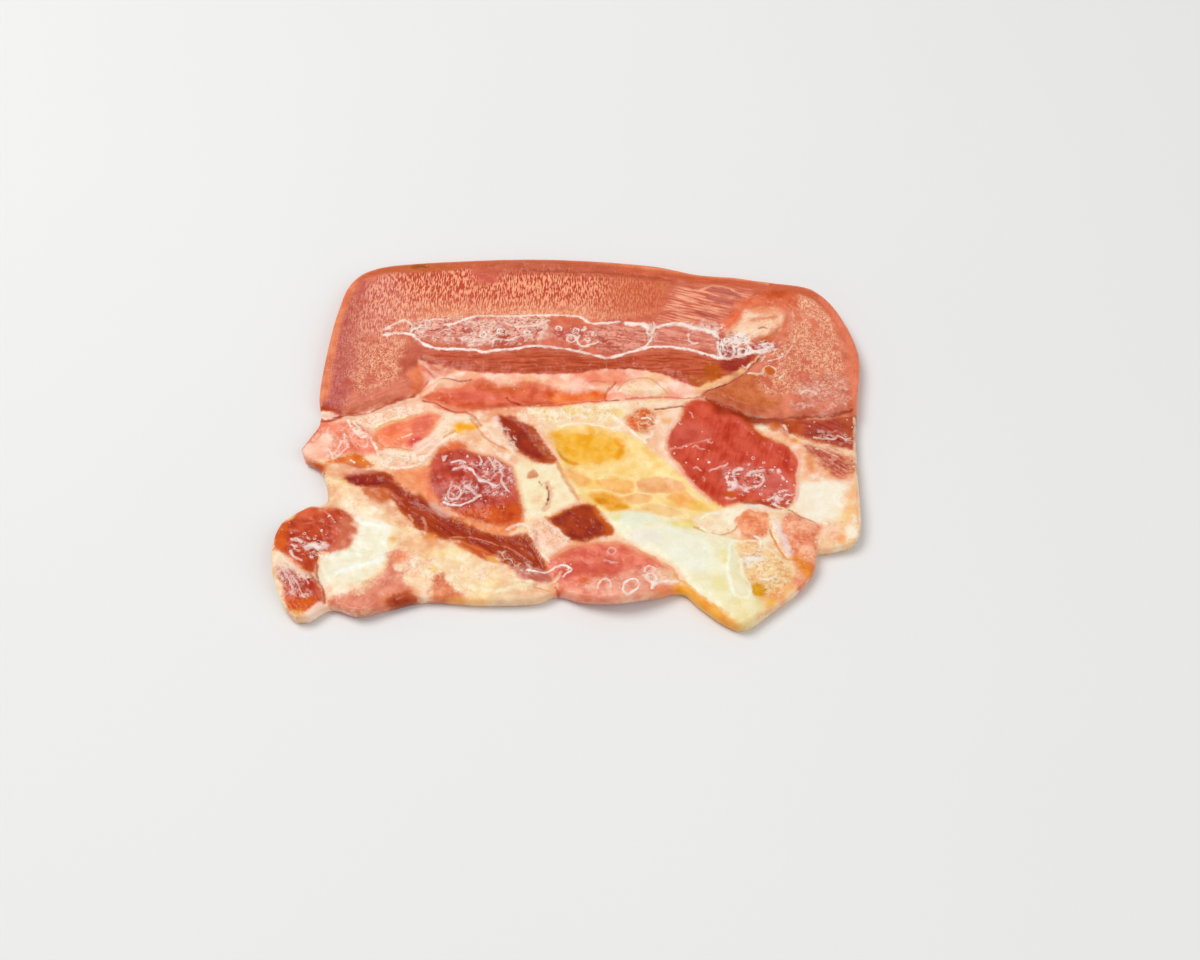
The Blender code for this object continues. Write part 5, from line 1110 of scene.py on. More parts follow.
WHOLE_FATS = 5  # so many of the first fats are smooth throughout
RIND_WIDTH = ((-68, -64, -60, -46, 50, 68, 78), (1.1, 1.6, 2.6, 4.0, 4.0, 3.8, 3.2))  # along x
FAT_GRAIN = 0.13  # how much the colour's brightness varies from grain to grain
MUSCLE_GRAIN = 0.40
MUSCLE_GRAIN_EDGE = 2.0
PATCHY_FAT = 0.9  # how strongly the loose fat's patches and threads show, and how much less in smooth fat
PATCHY_LESS = 0.72
PATCHY_EDGE = 2.4

# ---------------------------------------------------------------- measuring the plan

OUTLINE_STEPS = 12  # points to a span of the outline
AREA_STEPS = 6
LINE_STEPS = 5
BEYOND = 4.0  # farther out than this the distance to an area no longer matters
MELT = 0.45  # how far two areas of one level run into each other where they meet
STRAND_BEYOND = 12.0
STRAND_MELT = 3.5
TINY = 1e-6


def rgb(red, green, blue):
    """A colour as the eye reads it, 0 to 255, as the linear colour that a material takes."""
    parts = np.array([red, green, blue]) / 255
    return (*np.where(parts <= 0.04045, parts / 12.92, ((parts + 0.055) / 1.055) ** 2.4), 1.0)


def spans(p0, p1, p2, p3, steps):
    """Catmull-Rom points on every span from p1 to p2."""
    found = []
    for t in np.arange(steps) / steps:
        found.append(0.5 * (2 * p1 + (p2 - p0) * t + (2 * p0 - 5 * p1 + 4 * p2 - p3) * t**2
                            + (3 * p1 - p0 - 3 * p2 + p3) * t**3))
    return np.stack(found, 1).reshape(-1, 2)


def smooth_loop(points, steps):
    """A closed curve through the points."""
    p1 = np.array(points, float)
    return spans(np.roll(p1, 1, 0), p1, np.roll(p1, -1, 0), np.roll(p1, -2, 0), steps)


def smooth_line(points, steps=LINE_STEPS):
    """An open curve through the points."""
    ends = np.array([points[0], *points, points[-1]], float)
    return np.vstack([spans(ends[:-3], ends[1:-2], ends[2:-1], ends[3:], steps), ends[-1:]])


def nearest(xy, start, end):
    """For each point the distance to a set of segments, and the closest point on them."""
    best = np.full(len(xy), np.inf)
    spot = np.zeros_like(xy)
    for a, b in zip(start, end):
        along = np.clip(((xy - a) @ (b - a)) / ((b - a) @ (b - a)), 0, 1)
        foot = a + along[:, None] * (b - a)
        away = np.hypot(*(xy - foot).T)
        closer = away < best
        best[closer], spot[closer] = away[closer], foot[closer]
    return best, spot


def to_loop(xy, loop):
    """The same for a closed loop."""
    return nearest(xy, loop, np.roll(loop, -1, 0))


def to_chain(xy, points):
    """The same for an open chain."""
    chain = np.array(points, float)
    return nearest(xy, chain[:-1], chain[1:])


def is_inside(xy, loop):
    """Even-odd test of each point against a closed loop."""
    inside = np.zeros(len(xy), bool)
    for (ax, ay), (bx, by) in zip(loop, np.roll(loop, -1, 0)):
        crosses = (ay > xy[:, 1]) != (by > xy[:, 1])
        with np.errstate(divide="ignore", invalid="ignore"):
            inside ^= crosses & (xy[:, 0] < (bx - ax) * (xy[:, 1] - ay) / (by - ay) + ax)
    return inside


def is_near(xy, points, beyond=BEYOND):
    """Whether each point lies in the box of those points or not far beyond it."""
    return ((xy > points.min(0) - beyond) & (xy < points.max(0) + beyond)).all(1)


def depth_in(xy, points, beyond=BEYOND):
    """Distance to the edge of a smooth area, positive inside it."""
    loop = smooth_loop(points, AREA_STEPS)
    close = is_near(xy, loop, beyond)
    found = np.full(len(xy), -beyond)
    away = to_loop(xy[close], loop)[0]
    found[close] = np.where(is_inside(xy[close], loop), away, -away)
    return found


def ease(t):
    """0 to 1, level at both ends."""
    t = np.clip(t, 0, 1)
    return t * t * (3 - 2 * t)


def bumps(xy, size, seed):
    """Smooth noise of about unit height, with bumps of that size."""
    return np.array([noise.noise((x / size, y / size, seed)) for x, y in xy]) * 2


# ---------------------------------------------------------------- the mesh

# (height, size, seed) of the bumps all over the cut face, and of those on the gland
FINE_BUMPS = [(0.10, 5.0, 1.5), (0.06, 2.2, 7.5), (0.03, 1.1, 3.5)]
GLAND_BUMPS = (0.16, 3.2, 4.5)
GLAND_EDGE = 2.0  # how far those take to build up
LONG_BUNDLE_RISE = 0.3
LONG_BUNDLE_EDGE = 2.6
# (rise, how far it spreads) along each group of lines
LINE_RISES = {"veins_and_painted_gloss": (0.14, 1.1), "painted_highlight_lines": (0.16, 0.9), "shadow_lines": (-0.2, 0.8)}


def relief(xy):
    """Height of the top surface over the plain slab."""
    height = WAVE * np.sin(2 * np.pi * xy[:, 0] / WAVE_X) * np.sin(2 * np.pi * xy[:, 1] / WAVE_Y)
    for area, rise, width in RELIEF:
        height += rise * ease(depth_in(xy, area) / width)
    for points, slope, depth in GROOVES:
        height -= depth * (1 - ease(to_chain(xy, points)[0] / slope))
    return height


def bridge(xy):
    """What evens out the step between the band and its tip."""
    away = to_chain(xy, TIP_BRIDGE)[0]
    close = away < BRIDGE_REACH
    around = np.mean([relief(xy[close] + (step, 0)) for step in BRIDGE_STEPS], 0)
    height = np.zeros(len(xy))
    height[close] = (around - relief(xy[close])) * ease(2 - 2 * away[close] / BRIDGE_REACH)
    return height


def fine_relief(xy, notes):
    """Small relief of the wet cut face, over what the frame's solid has."""
    height = sum(rise * bumps(xy, size, seed) for rise, size, seed in FINE_BUMPS)
    rise, size, seed = GLAND_BUMPS
    height += rise * bumps(xy, size, seed) * ease(depth_in(xy, GLAND) / GLAND_EDGE + 0.5)
    height += LONG_BUNDLE_RISE * ease(depth_in(xy, LONG_BUNDLE) / LONG_BUNDLE_EDGE)
    for name, (rise, reach) in LINE_RISES.items():
        height += rise * ease(1 - np.hypot(*notes[name + "_offset"][:, :2].T) / reach)
    return height


def lift(xy):
    """How far the sheet stands off the surface it lies on."""
    height = np.zeros(len(xy))
    for spot, reach, most in CURLS:
        height += most * ease(1 - np.hypot(*((xy - spot) / reach).T))
    return height


def flat_sheet(loop):
    """A grid cut short of the outline, with rings of faces that carry it out to the outline."""
    bm = bmesh.new()
    cells = int(2 * GRID_REACH / CELL)
    bmesh.ops.create_grid(bm, x_segments=cells, y_segments=cells, size=GRID_REACH)
    xy = np.array([v.co.xy for v in bm.verts])
    keep = is_inside(xy, loop) & (to_loop(xy, loop)[0] > EDGE_ROUND + CLEAR)
    outer = [v for v, stays in zip(list(bm.verts), keep) if not stays]
    bmesh.ops.delete(bm, geom=outer, context="VERTS")
    bmesh.ops.delete(bm, geom=[v for v in bm.verts if not v.link_faces], context="VERTS")
    for ring_share in EDGE_RINGS:
        border = [e for e in bm.edges if e.is_boundary]
        made = bmesh.ops.extrude_edge_only(bm, edges=border)["geom"]
        moved = [g for g in made if isinstance(g, bmesh.types.BMVert)]
        xy = np.array([v.co.xy for v in moved])
        away, spots = to_loop(xy, loop)
        placed = spots + (xy - spots) * (ring_share * EDGE_ROUND / away)[:, None]
        for vertex, spot in zip(moved, placed):
            vertex.co.xy = spot
        bmesh.ops.remove_doubles(bm, verts=moved, dist=MERGE)
    bmesh.ops.recalc_face_normals(bm, faces=bm.faces)
    mesh = bpy.data.meshes.new("sheet")
    bm.to_mesh(mesh)
    bm.free()
    return mesh


def slab(loop):
    """The sheet as an even slab with straight walls."""
    plan = bpy.data.objects.new("plan", flat_sheet(loop))
    bpy.context.scene.collection.objects.link(plan)
    wall = plan.modifiers.new("Thickness", "SOLIDIFY")
    wall.thickness = THICKNESS
    wall.offset = 1.0
    bpy.context.view_layer.update()
    dressed = plan.evaluated_get(bpy.context.evaluated_depsgraph_get())
    shape = bpy.data.meshes.new_from_object(dressed)
    bpy.data.objects.remove(plan)
    return shape


def refine_top(mesh):
    """Cuts every cell of the top face into four."""
    bm = bmesh.new()
    bm.from_mesh(mesh)
    middle = THICKNESS / 2
    top = [e for e in bm.edges if all(v.co.z > middle for v in e.verts)]
    bmesh.ops.subdivide_edges(bm, edges=top, cuts=1, use_grid_fill=True)
    bm.to_mesh(mesh)
    bm.free()


def area_notes(xy, name, areas):
    """For one level: how deep each point lies in its areas, and their colours, edge and grain."""
    beyond, melt = (STRAND_BEYOND, STRAND_MELT) if name == "strands" else (BEYOND, MELT)
    depths = np.stack([depth_in(xy, area.points, beyond) for area in areas])
    weights = np.exp((depths - depths.max(0)) / melt) * (depths > -beyond) + TINY
    depth = depths.max(0) + MELT * np.log(np.maximum(weights.sum(0), 1))
    weights /= weights.sum(0)
    angle = np.array([area.angle for area in areas])[depths.argmax(0)]
    numbers = [(area.soft, area.ragged, area.strength, area.streaks) for area in areas]
    soft, ragged, strength, streaks = np.array(numbers, float).T @ weights
    return {
        name + "_dark": weights.T @ np.array([rgb(*area.dark)[:3] for area in areas]),
        name + "_light": weights.T @ np.array([rgb(*area.light)[:3] for area in areas]),
        name + "_edge": np.stack([depth / soft, ragged / soft, strength], 1),
        name + "_turn": np.stack([-np.radians(angle), streaks, 0 * angle], 1),
    }


def line_notes(xy, name, lines):
    """For one group of lines: the way from each point's nearest line, and its colour, width and strength."""
    best = np.full(len(xy), np.inf)
    owner = np.zeros(len(xy), int)
    offset = np.full((len(xy), 3), BEYOND)
    for number, line in enumerate(lines):
        chain = smooth_line(line.points)
        close = np.flatnonzero(is_near(xy, chain))
        away, spot = to_chain(xy[close], chain)
        won = away / line.half_width < best[close]
        taken = close[won]
        best[taken], owner[taken] = away[won] / line.half_width, number
        offset[taken] = np.column_stack([xy[taken] - spot[won], away[won] - HALF_DIAGONAL])
    widths = np.array([(line.half_width, line.strength, 0) for line in lines])
    return {
        name + "_offset": offset,
        name + "_colour": np.array([rgb(*line.colour)[:3] for line in lines])[owner],
        name + "_width": widths[owner],
    }


def all_notes(xy, deep):
    """Everything that the material reads at the mesh's points, by name."""
    whole_fat = np.max([depth_in(xy, area.points) for area in FATS[:WHOLE_FATS] + BLUSH[:1]], 0)
    in_muscle = np.maximum(depth_in(xy, MUSCLE), depth_in(xy, BENT_TIP))
    notes = {
        "deep": deep,
        "loose": PATCHY_FAT - PATCHY_LESS * ease(whole_fat / PATCHY_EDGE + 0.5),
        "rind": deep / np.interp(xy[:, 0], *RIND_WIDTH),
        "grainy": FAT_GRAIN + (MUSCLE_GRAIN - FAT_GRAIN) * ease(in_muscle / MUSCLE_GRAIN_EDGE),
    }
    for name, areas in (ROOT_LEVELS | BAND_LEVELS | OTHER_LEVELS).items():
        notes.update(area_notes(xy, name, areas))
    for name, lines in LINE_LEVELS.items():
        notes.update(line_notes(xy, name, lines))
    return notes


def note(mesh, name, values):
    """Keeps one number, or one vector, for each point of the mesh, for the material to read."""
    is_vector = values.ndim > 1
    kept = mesh.attributes.new(name, "FLOAT_VECTOR" if is_vector else "FLOAT", "POINT")
    kept.data.foreach_set("vector" if is_vector else "value", values.astype(np.float32).ravel())


def build_slice():
    """The slice's fine mesh, with the notes that its material reads at its points."""
    mesh = slab(OUTLINE_LOOP)
    refine_top(mesh)
    points = np.empty(len(mesh.vertices) * 3, np.float32)
    mesh.vertices.foreach_get("co", points)
    points = points.reshape(-1, 3).astype(float)
    xy = points[:, :2].copy()
    is_top = points[:, 2] > THICKNESS / 2
    deep = to_loop(xy, OUTLINE_LOOP)[0]
    notes = all_notes(xy, deep)

    thickness = THICKNESS + relief(xy) + bridge(xy)
    thickness += np.where(is_top, fine_relief(xy, notes) * ease(deep / EDGE_ROUND), 0)
    radius = np.minimum(EDGE_ROUND, THINNEST_EDGE * thickness)
    inward = np.minimum(deep / EDGE_ROUND, 1)
    shy = radius * (1 - np.sqrt(1 - (1 - inward) ** 2))
    points[:, 2] = lift(xy) + np.where(is_top, thickness - shy, shy)
    points[:, :2] -= PLAN_MIDDLE
    mesh.vertices.foreach_set("co", (points * MM).astype(np.float32).ravel())
    mesh.shade_smooth()
    for name, values in notes.items():
        note(mesh, name, values)
    return mesh


# ---------------------------------------------------------------- the material


class Noise(NamedTuple):
    """Noise with features of that size, eased from 0 to 1 between two of its values."""

    size: float
    low: float
    high: float
    detail: float = 2.0
    shift: tuple = ()
    distortion: float = 0.0


# A stretch is how far the noise is drawn out along its grain, and across it.
UPRIGHT_SCALE = 0.4  # how fast such noise changes with height
RIDGE_MIDDLE = 0.25  # this share of a ridge's width is at full strength
MOTTLES = Noise(4.2, 0.34, 0.66, 4)
FADING = Noise(2.8, 0.36, 0.56, 1)
STREAKS = Noise(1, 0.36, 0.64, 3)
STREAK_STRETCH = (6.0, 0.7)

# how far the areas' edges wander from side to side, and the size of that wandering, broad and fine
BROAD_WANDER = 3.4
BROAD_WANDER_SIZE = 3.0
FINE_WANDER = 1.8
FINE_WANDER_SIZE = 0.8
# the same for the drawn lines, along x and along y, and how their width varies
WARP = 1.1
WARP_SIZE = 2.2
WARP_SHIFTS = ((0, 0, 0), (47, 19, 0))
WIDTH_LEAST = 0.1
WIDTH_MORE = 1.7
WIDTH_SIZE = 1.7
LINE_EDGE = (1.5, 0.3)  # half widths from the middle, where a line begins to show and where it is full
FAINTEST = {"shadow_lines": 0.8, "veins_and_painted_gloss": 0.45, "painted_highlight_lines": 0.6}  # how far lines fade here and there

# (its noise, strength, colour) of each patchiness of the fat; the near-white one is a painted highlight
FAT_PATCHES = [
    (Noise(7.0, 0.48, 0.68, 3, (0, 0, 0)), 0.5, (246, 184, 140)),
    (Noise(3.6, 0.50, 0.68, 3, (53, 17, 0)), 0.6, (255, 246, 226)),
    (Noise(9.0, 0.52, 0.66, 3, (11, 71, 0)), 0.45, (250, 216, 138)),
    (Noise(1.6, 0.54, 0.72, 3, (37, 29, 0)), 0.2, (240, 168, 132)),
]
CREAM = ((248, 206, 168), (252, 228, 194))  # the fat under all the areas, from dark to light
FAT_THREAD = (230, 150, 112)
THREAD_SIZE = 4.5
THREAD_BEND = 0.8
THREAD_WIDTH = 0.016
THREAD_STRENGTH = 0.5
THREAD_REGIONS = Noise(6, 0.4, 0.56, 2, (31, 7, 0))

# where the fat thins out over the areas of a level: (start, end, strength) outside them and inside
FRINGES = {"leans": (244, 152, 108), "bundles": (228, 128, 84)}
FRINGE_OUTSIDE = (-1.3, 0.1, 0.6)
FRINGE_INSIDE = (1.4, 0.2, 0.28)

ACROSS = -math.pi / 2  # the way that the strands stand to the tongue's length
WORMS = Noise(1, 0.44, 0.56, 1, distortion=0.25)
WORM_STRETCH = (1.7, 0.38)
LACE_STRETCH = (0.9, 0.76)
LACE_SIZE = 1.25
LACE_BEND = 0.7
LACE_WIDTH = 0.09
DOTS = Noise(0.5, 0.50, 0.64, 1, (5, 9, 0))
DOT_STRENGTH = 0.5
# The strands thin out where noise of that size falls from the end to the start: one start for lace, and
# how far the start shifts where there are worms.
SPARSE_SIZE = 3.4
SPARSE_END = 0.5
SPARSE_START = 0.34
SPARSE_SHIFT = -0.3
WARM_STRAND = (246, 176, 104)
WARM_STRANDS = Noise(3.6, 0.5, 0.64, 2, (3, 41, 0))
WARM_STRENGTH = 0.22

# the very skin is paler, partly its own colour and partly a painted highlight where the rim rounds over
SKIN_AND_EDGE_HIGHLIGHT = (238, 148, 114)
SKIN_DEPTH = (0.2, 1.6)  # from there to there its colour turns into the rind's
RIND = (202, 98, 72)
RIND_EDGE = (1.15, 0.8)  # in rind widths
RIND_WANDER = 0.06
RIND_IN_BAND = (0.5, 1.5)
RIND_STREAK = (224, 124, 90)
RIND_GRAIN = Noise(1, 0.4, 0.66, 3)
RIND_STRETCH = (5.0, 0.6)
RIND_TURN = 0.05
RIND_GRAIN_STRENGTH = 0.4

# the wet film's painted highlights and the painted shade in its gaps
FILM_BEND = 1.6
FILM_STRETCH = (1.3, 1.0)
CLUMPS = Noise(3.0, 0.36, 0.56)
CRUST = Noise(0.95, 0.49, 0.61, 3, (23, 11, 0))
GAP_SHADE = Noise(0.8, 0.50, 0.36, 1, (19, 5, 0))
GAP_SHADE_STRENGTH = 0.8
WIDE_LOOPS = (1.9, (0, 0, 0))  # their size, and where their cells are read
NARROW_LOOPS = (1.0, (30, 50, 0))
NARROW_STRENGTH = 0.45
LOOP_WALL = (0.44, -0.09)  # how far the walls' width varies, and what it starts from
LOOP_WALL_SIZE = 1.0  # how soon it varies
WALL_MIDDLE = 0.3  # this share of the width is at full strength

# the painted glint dots
GLINT_DOT_BEND = 0.9
GLINT_DOT_SPACING = 1.5
GLINT_DOT_RADIUS = (0.42, -0.14)  # how far it varies, and what it starts from
GLINT_DOT_MIDDLE = 0.5  # this share of the radius is at full strength
SMALLEST_GLINT_DOT = 0.03
HOOP_EDGE = (0.09, 0.03)
HOOPS_ABOVE = 0.72  # of the drops' even chance from 0 to 1

GRAIN_SIZE = 0.6

# how high each stands in the material's own relief, or how low it lies
MOTTLE_RISE = 0.05
RISES = {"strand": 0.07, "painted_film": 0.12, "painted_glint_dot": 0.12, "painted_highlight_lines": 0.10, "veins_and_painted_gloss": 0.05, "shadow_lines": -0.06}
RIPPLE_RISE = 0.5  # of the wet film alone
RIPPLE_SIZE = 2.4
RIPPLE_BEND = 0.5
FINE_RIPPLE_RISE = 0.08
FINE_RIPPLE_SIZE = 0.7
SHEEN = (0.015, 0.019, 0.025)  # the white haze of the wet film, as red, green and blue
WET_SURFACE = {
    "Roughness": 0.42,
    "Specular IOR Level": 0.1,
    "Subsurface Weight": 0.0,
    "Coat Weight": 0.65,
    "Coat Roughness": 0.06,
    "Coat IOR": 1.36,
}

# The Mix node's sockets go by their number, because their names repeat.
MIX_SHARE = 0
MIX_NUMBERS = (2, 3)
MIX_COLOURS = (6, 7)
MIX_COLOUR_OUT = 2


class Tree:
    """Adds nodes to one material. What goes into a node is a number, a colour or another node's output."""

    def __init__(self, material):
        material.use_nodes = True
        self.nodes = material.node_tree.nodes
        self.links = material.node_tree.links

    def add(self, kind, inputs, output=0, **settings):
        node = self.nodes.new("ShaderNode" + kind)
        for name, value in settings.items():
            setattr(node, name, value)
        self.plug(node, inputs)
        return node.outputs[output]

    def plug(self, node, inputs):
        for name, value in inputs.items():
            if isinstance(value, bpy.types.NodeSocket):
                self.links.new(value, node.inputs[name])
            else:
                node.inputs[name].default_value = value

    def math(self, operation, *values):
        return self.add("Math", dict(enumerate(values)), operation=operation)

    def times(self, first, *others):
        """All of them multiplied."""
        for other in others:
            first = self.math("MULTIPLY", first, other)
        return first

    def step(self, value, low, high):
        """0 at low and 1 at high, eased between."""
        sockets = {"Value": value, "From Min": low, "From Max": high}
        return self.add("MapRange", sockets, interpolation_type="SMOOTHSTEP")

    def mix(self, share, below, above, **settings):
        sockets = {MIX_SHARE: share, MIX_COLOURS[0]: below, MIX_COLOURS[1]: above}
        return self.add("Mix", sockets, MIX_COLOUR_OUT, data_type="RGBA", **settings)

    def blend(self, share, below, above):
        """The same for plain numbers."""
        return self.add("Mix", {MIX_SHARE: share, MIX_NUMBERS[0]: below, MIX_NUMBERS[1]: above})

    def noted(self, name, output="Color"):
        """What the mesh's points carry under that name, as a colour, a vector or a plain number."""
        return self.add("Attribute", {}, output, attribute_name=name)

    def split(self, vector):
        node = self.nodes.new("ShaderNodeSeparateXYZ")
        self.links.new(vector, node.inputs[0])
        return tuple(node.outputs)

    def vector(self, operation, *values, output="Vector"):
        return self.add("VectorMath", dict(enumerate(values)), output, operation=operation)

    def cloud(self, place, size, detail=2.0, distortion=0.0):
        """Noise with features of that size, 0 to 1."""
        sockets = {"Vector": place, "Scale": 1 / size, "Detail": detail, "Distortion": distortion}
        return self.add("TexNoise", sockets)

    def shift(self, place, way):
        return self.add("Mapping", {"Vector": place, "Location": way})

    def patchy(self, place, kind):
        """Noise of that kind at the place."""
        if kind.shift:
            place = self.shift(place, kind.shift)
        return self.step(self.cloud(place, kind.size, kind.detail, kind.distortion), kind.low, kind.high)

    def along(self, place, turn, reach, width):
        """The place turned and squeezed, so that noise on it runs out in strands of that reach and width."""
        turned = self.add("VectorRotate", {"Vector": place, "Angle": turn}, rotation_type="Z_AXIS")
        return self.add("Mapping", {"Vector": turned, "Scale": (1 / reach, 1 / width, UPRIGHT_SCALE)})

    def ridges(self, value, width):
        """1 along the lines where noise passes its middle, 0 beside them."""
        away = self.math("ABSOLUTE", self.math("SUBTRACT", value, 0.5))
        return self.step(away, width, width * RIDGE_MIDDLE)


class Skin:
    """What all of the wet meat's colour draws on: the place on the slice and the noise that is shared."""

    def __init__(self, tree):
        self.tree = tree
        origin = tree.add("TexCoord", {}, "Object")
        sockets = {"Vector": origin, "Scale": (MM, MM, MM), "Location": tuple(-PLAN_MIDDLE * MM) + (0,)}
        self.place = tree.add("Mapping", sockets, vector_type="TEXTURE")
        self.mottled = tree.patchy(self.place, MOTTLES)
        broad = tree.cloud(self.place, BROAD_WANDER_SIZE, detail=1)
        broad = tree.math("MULTIPLY_ADD", broad, BROAD_WANDER, -BROAD_WANDER / 2)
        fine = tree.cloud(self.place, FINE_WANDER_SIZE)
        self.wander = tree.math("MULTIPLY_ADD", fine, FINE_WANDER, broad)
        self.wander = tree.math("ADD", self.wander, -FINE_WANDER / 2)
        sway = [tree.cloud(tree.shift(self.place, way), WARP_SIZE, detail=3) for way in WARP_SHIFTS]
        sway = [tree.math("MULTIPLY_ADD", one, WARP, -WARP / 2) for one in sway]
        self.drift = tree.add("CombineXYZ", {"X": sway[0], "Y": sway[1]})
        varied = tree.cloud(self.place, WIDTH_SIZE, detail=1)
        self.thick = tree.math("MULTIPLY_ADD", varied, WIDTH_MORE, WIDTH_LEAST)
        self.fade = tree.patchy(self.place, FADING)

    def share(self, name, start=-0.5, end=0.5):
        """How far each spot lies in its area of that level, 0 to 1, with a wandering edge."""
        depth, ragged, strength = self.tree.split(self.tree.noted(name + "_edge", "Vector"))
        depth = self.tree.math("MULTIPLY_ADD", self.wander, ragged, depth)
        return self.tree.times(self.tree.step(depth, start, end), strength)

    def turn(self, name):
        """The angle of that level's grain there, and how far it is drawn out in streaks."""
        return self.tree.split(self.tree.noted(name + "_turn", "Vector"))[:2]

    def bend(self, amount):
        """The place, pushed aside by the same wandering as the lines."""
        return self.tree.vector("MULTIPLY_ADD", self.drift, (amount, amount, 0), self.place)

    def add_fringe(self, below, name, tint, start, end, strength):
        """Tints what is there round that level's areas."""
        share = self.tree.times(self.share(name, start, end), strength)
        return self.tree.mix(share, below, rgb(*tint))

    def add_level(self, below, name, fringe=None):
        """Lays one level of areas over what is there, with a fringe where the fat thins out over them."""
        tree = self.tree
        angle, streaks = self.turn(name)
        streak = tree.patchy(tree.along(self.place, angle, *STREAK_STRETCH), STREAKS)
        grain = tree.blend(streaks, self.mottled, streak)
        own = tree.mix(grain, tree.noted(name + "_dark"), tree.noted(name + "_light"))
        if fringe:
            below = self.add_fringe(below, name, fringe, *FRINGE_OUTSIDE)
            own = self.add_fringe(own, name, fringe, *FRINGE_INSIDE)
        return tree.mix(self.share(name), below, own)

    def add_fat_detail(self, below):
        """Warm patches, near-white patches of painted highlight, and fine branching threads, all over the
        fat.
        """
        tree = self.tree
        loose = tree.noted("loose", "Fac")
        for kind, strength, tint in FAT_PATCHES:
            patch = tree.patchy(self.place, kind)
            below = tree.mix(tree.times(patch, loose, strength), below, rgb(*tint))
        threads = tree.cloud(self.place, THREAD_SIZE, detail=3, distortion=THREAD_BEND)
        threads = tree.ridges(threads, THREAD_WIDTH)
        threads = tree.times(threads, tree.patchy(self.place, THREAD_REGIONS))
        return tree.mix(tree.times(threads, loose, THREAD_STRENGTH), below, rgb(*FAT_THREAD))

    def add_strands(self, below):
        """Lays the muscle's pale strands over what is there, as strokes or dots on a darker ground."""
        tree = self.tree
        streaks = self.turn("strands")[1]
        worms = tree.patchy(tree.along(self.place, ACROSS, *WORM_STRETCH), WORMS)
        netted = tree.along(self.place, ACROSS, *LACE_STRETCH)
        lace = tree.ridges(tree.cloud(netted, LACE_SIZE, 1, LACE_BEND), LACE_WIDTH)
        lace = tree.math("MAXIMUM", lace, tree.times(tree.patchy(netted, DOTS), DOT_STRENGTH))
        strand = tree.blend(streaks, lace, worms)
        sparse = tree.math("MULTIPLY_ADD", streaks, SPARSE_SHIFT, SPARSE_START)
        strand = tree.times(strand, tree.patchy(self.place, Noise(SPARSE_SIZE, sparse, SPARSE_END)))
        warm = tree.times(tree.patchy(self.place, WARM_STRANDS), WARM_STRENGTH)
        light = tree.mix(warm, tree.noted("strands_light"), rgb(*WARM_STRAND))
        own = tree.mix(strand, tree.noted("strands_dark"), light)
        share = self.share("strands")
        return tree.mix(share, below, own), tree.times(share, strand)

    def add_rind(self, below):
        """Lays a smooth, browner rim round the tongue's own muscle, paler at the very skin, partly its own
        colour and partly a painted highlight on the rounded edge.
        """
        tree = self.tree
        deep = tree.noted("deep", "Fac")
        in_band = tree.split(tree.noted("band_base_edge", "Vector"))[0]
        in_band = tree.step(in_band, *RIND_IN_BAND)
        rind = tree.mix(tree.step(deep, *SKIN_DEPTH), rgb(*SKIN_AND_EDGE_HIGHLIGHT), rgb(*RIND))
        grain = tree.patchy(tree.along(self.place, RIND_TURN, *RIND_STRETCH), RIND_GRAIN)
        rind = tree.mix(tree.times(grain, RIND_GRAIN_STRENGTH), rind, rgb(*RIND_STREAK))
        within = tree.math("MULTIPLY_ADD", self.wander, RIND_WANDER, tree.noted("rind", "Fac"))
        return tree.mix(tree.times(tree.step(within, *RIND_EDGE), in_band), below, rind)

    def loops(self, place, size, shift):
        """1 along the walls of a foam with cells of that size, which thin out and break here and there."""
        tree = self.tree
        place = tree.shift(place, shift)
        away = tree.add("TexVoronoi", {"Vector": place, "Scale": 1 / size}, feature="DISTANCE_TO_EDGE",
                        voronoi_dimensions="2D")
        width = tree.math("MULTIPLY_ADD", tree.cloud(place, LOOP_WALL_SIZE, detail=1), *LOOP_WALL)
        return tree.step(away, width, tree.times(width, WALL_MIDDLE))

    def add_painted_film(self, below):
        """Lays painted highlights in loops or crusts of the shrunken wet film over what is there, with
        painted shade in the gaps between them.
        """
        tree = self.tree
        angle, crusty = self.turn("painted_film")
        place = tree.along(self.bend(FILM_BEND), angle, *FILM_STRETCH)
        share = self.share("painted_film")
        clump = tree.patchy(self.place, CLUMPS)
        crust = tree.patchy(place, CRUST)
        film_gap_shade = tree.times(share, tree.patchy(place, GAP_SHADE), GAP_SHADE_STRENGTH)
        wide = self.loops(place, *WIDE_LOOPS)
        film_glint = tree.math("MAXIMUM", wide, tree.times(self.loops(place, *NARROW_LOOPS), NARROW_STRENGTH))
        film_glint = tree.times(share, tree.blend(crusty, film_glint, crust), clump)
        colour = tree.mix(film_gap_shade, below, tree.noted("painted_film_dark"))
        return tree.mix(film_glint, colour, tree.noted("painted_film_light")), film_glint

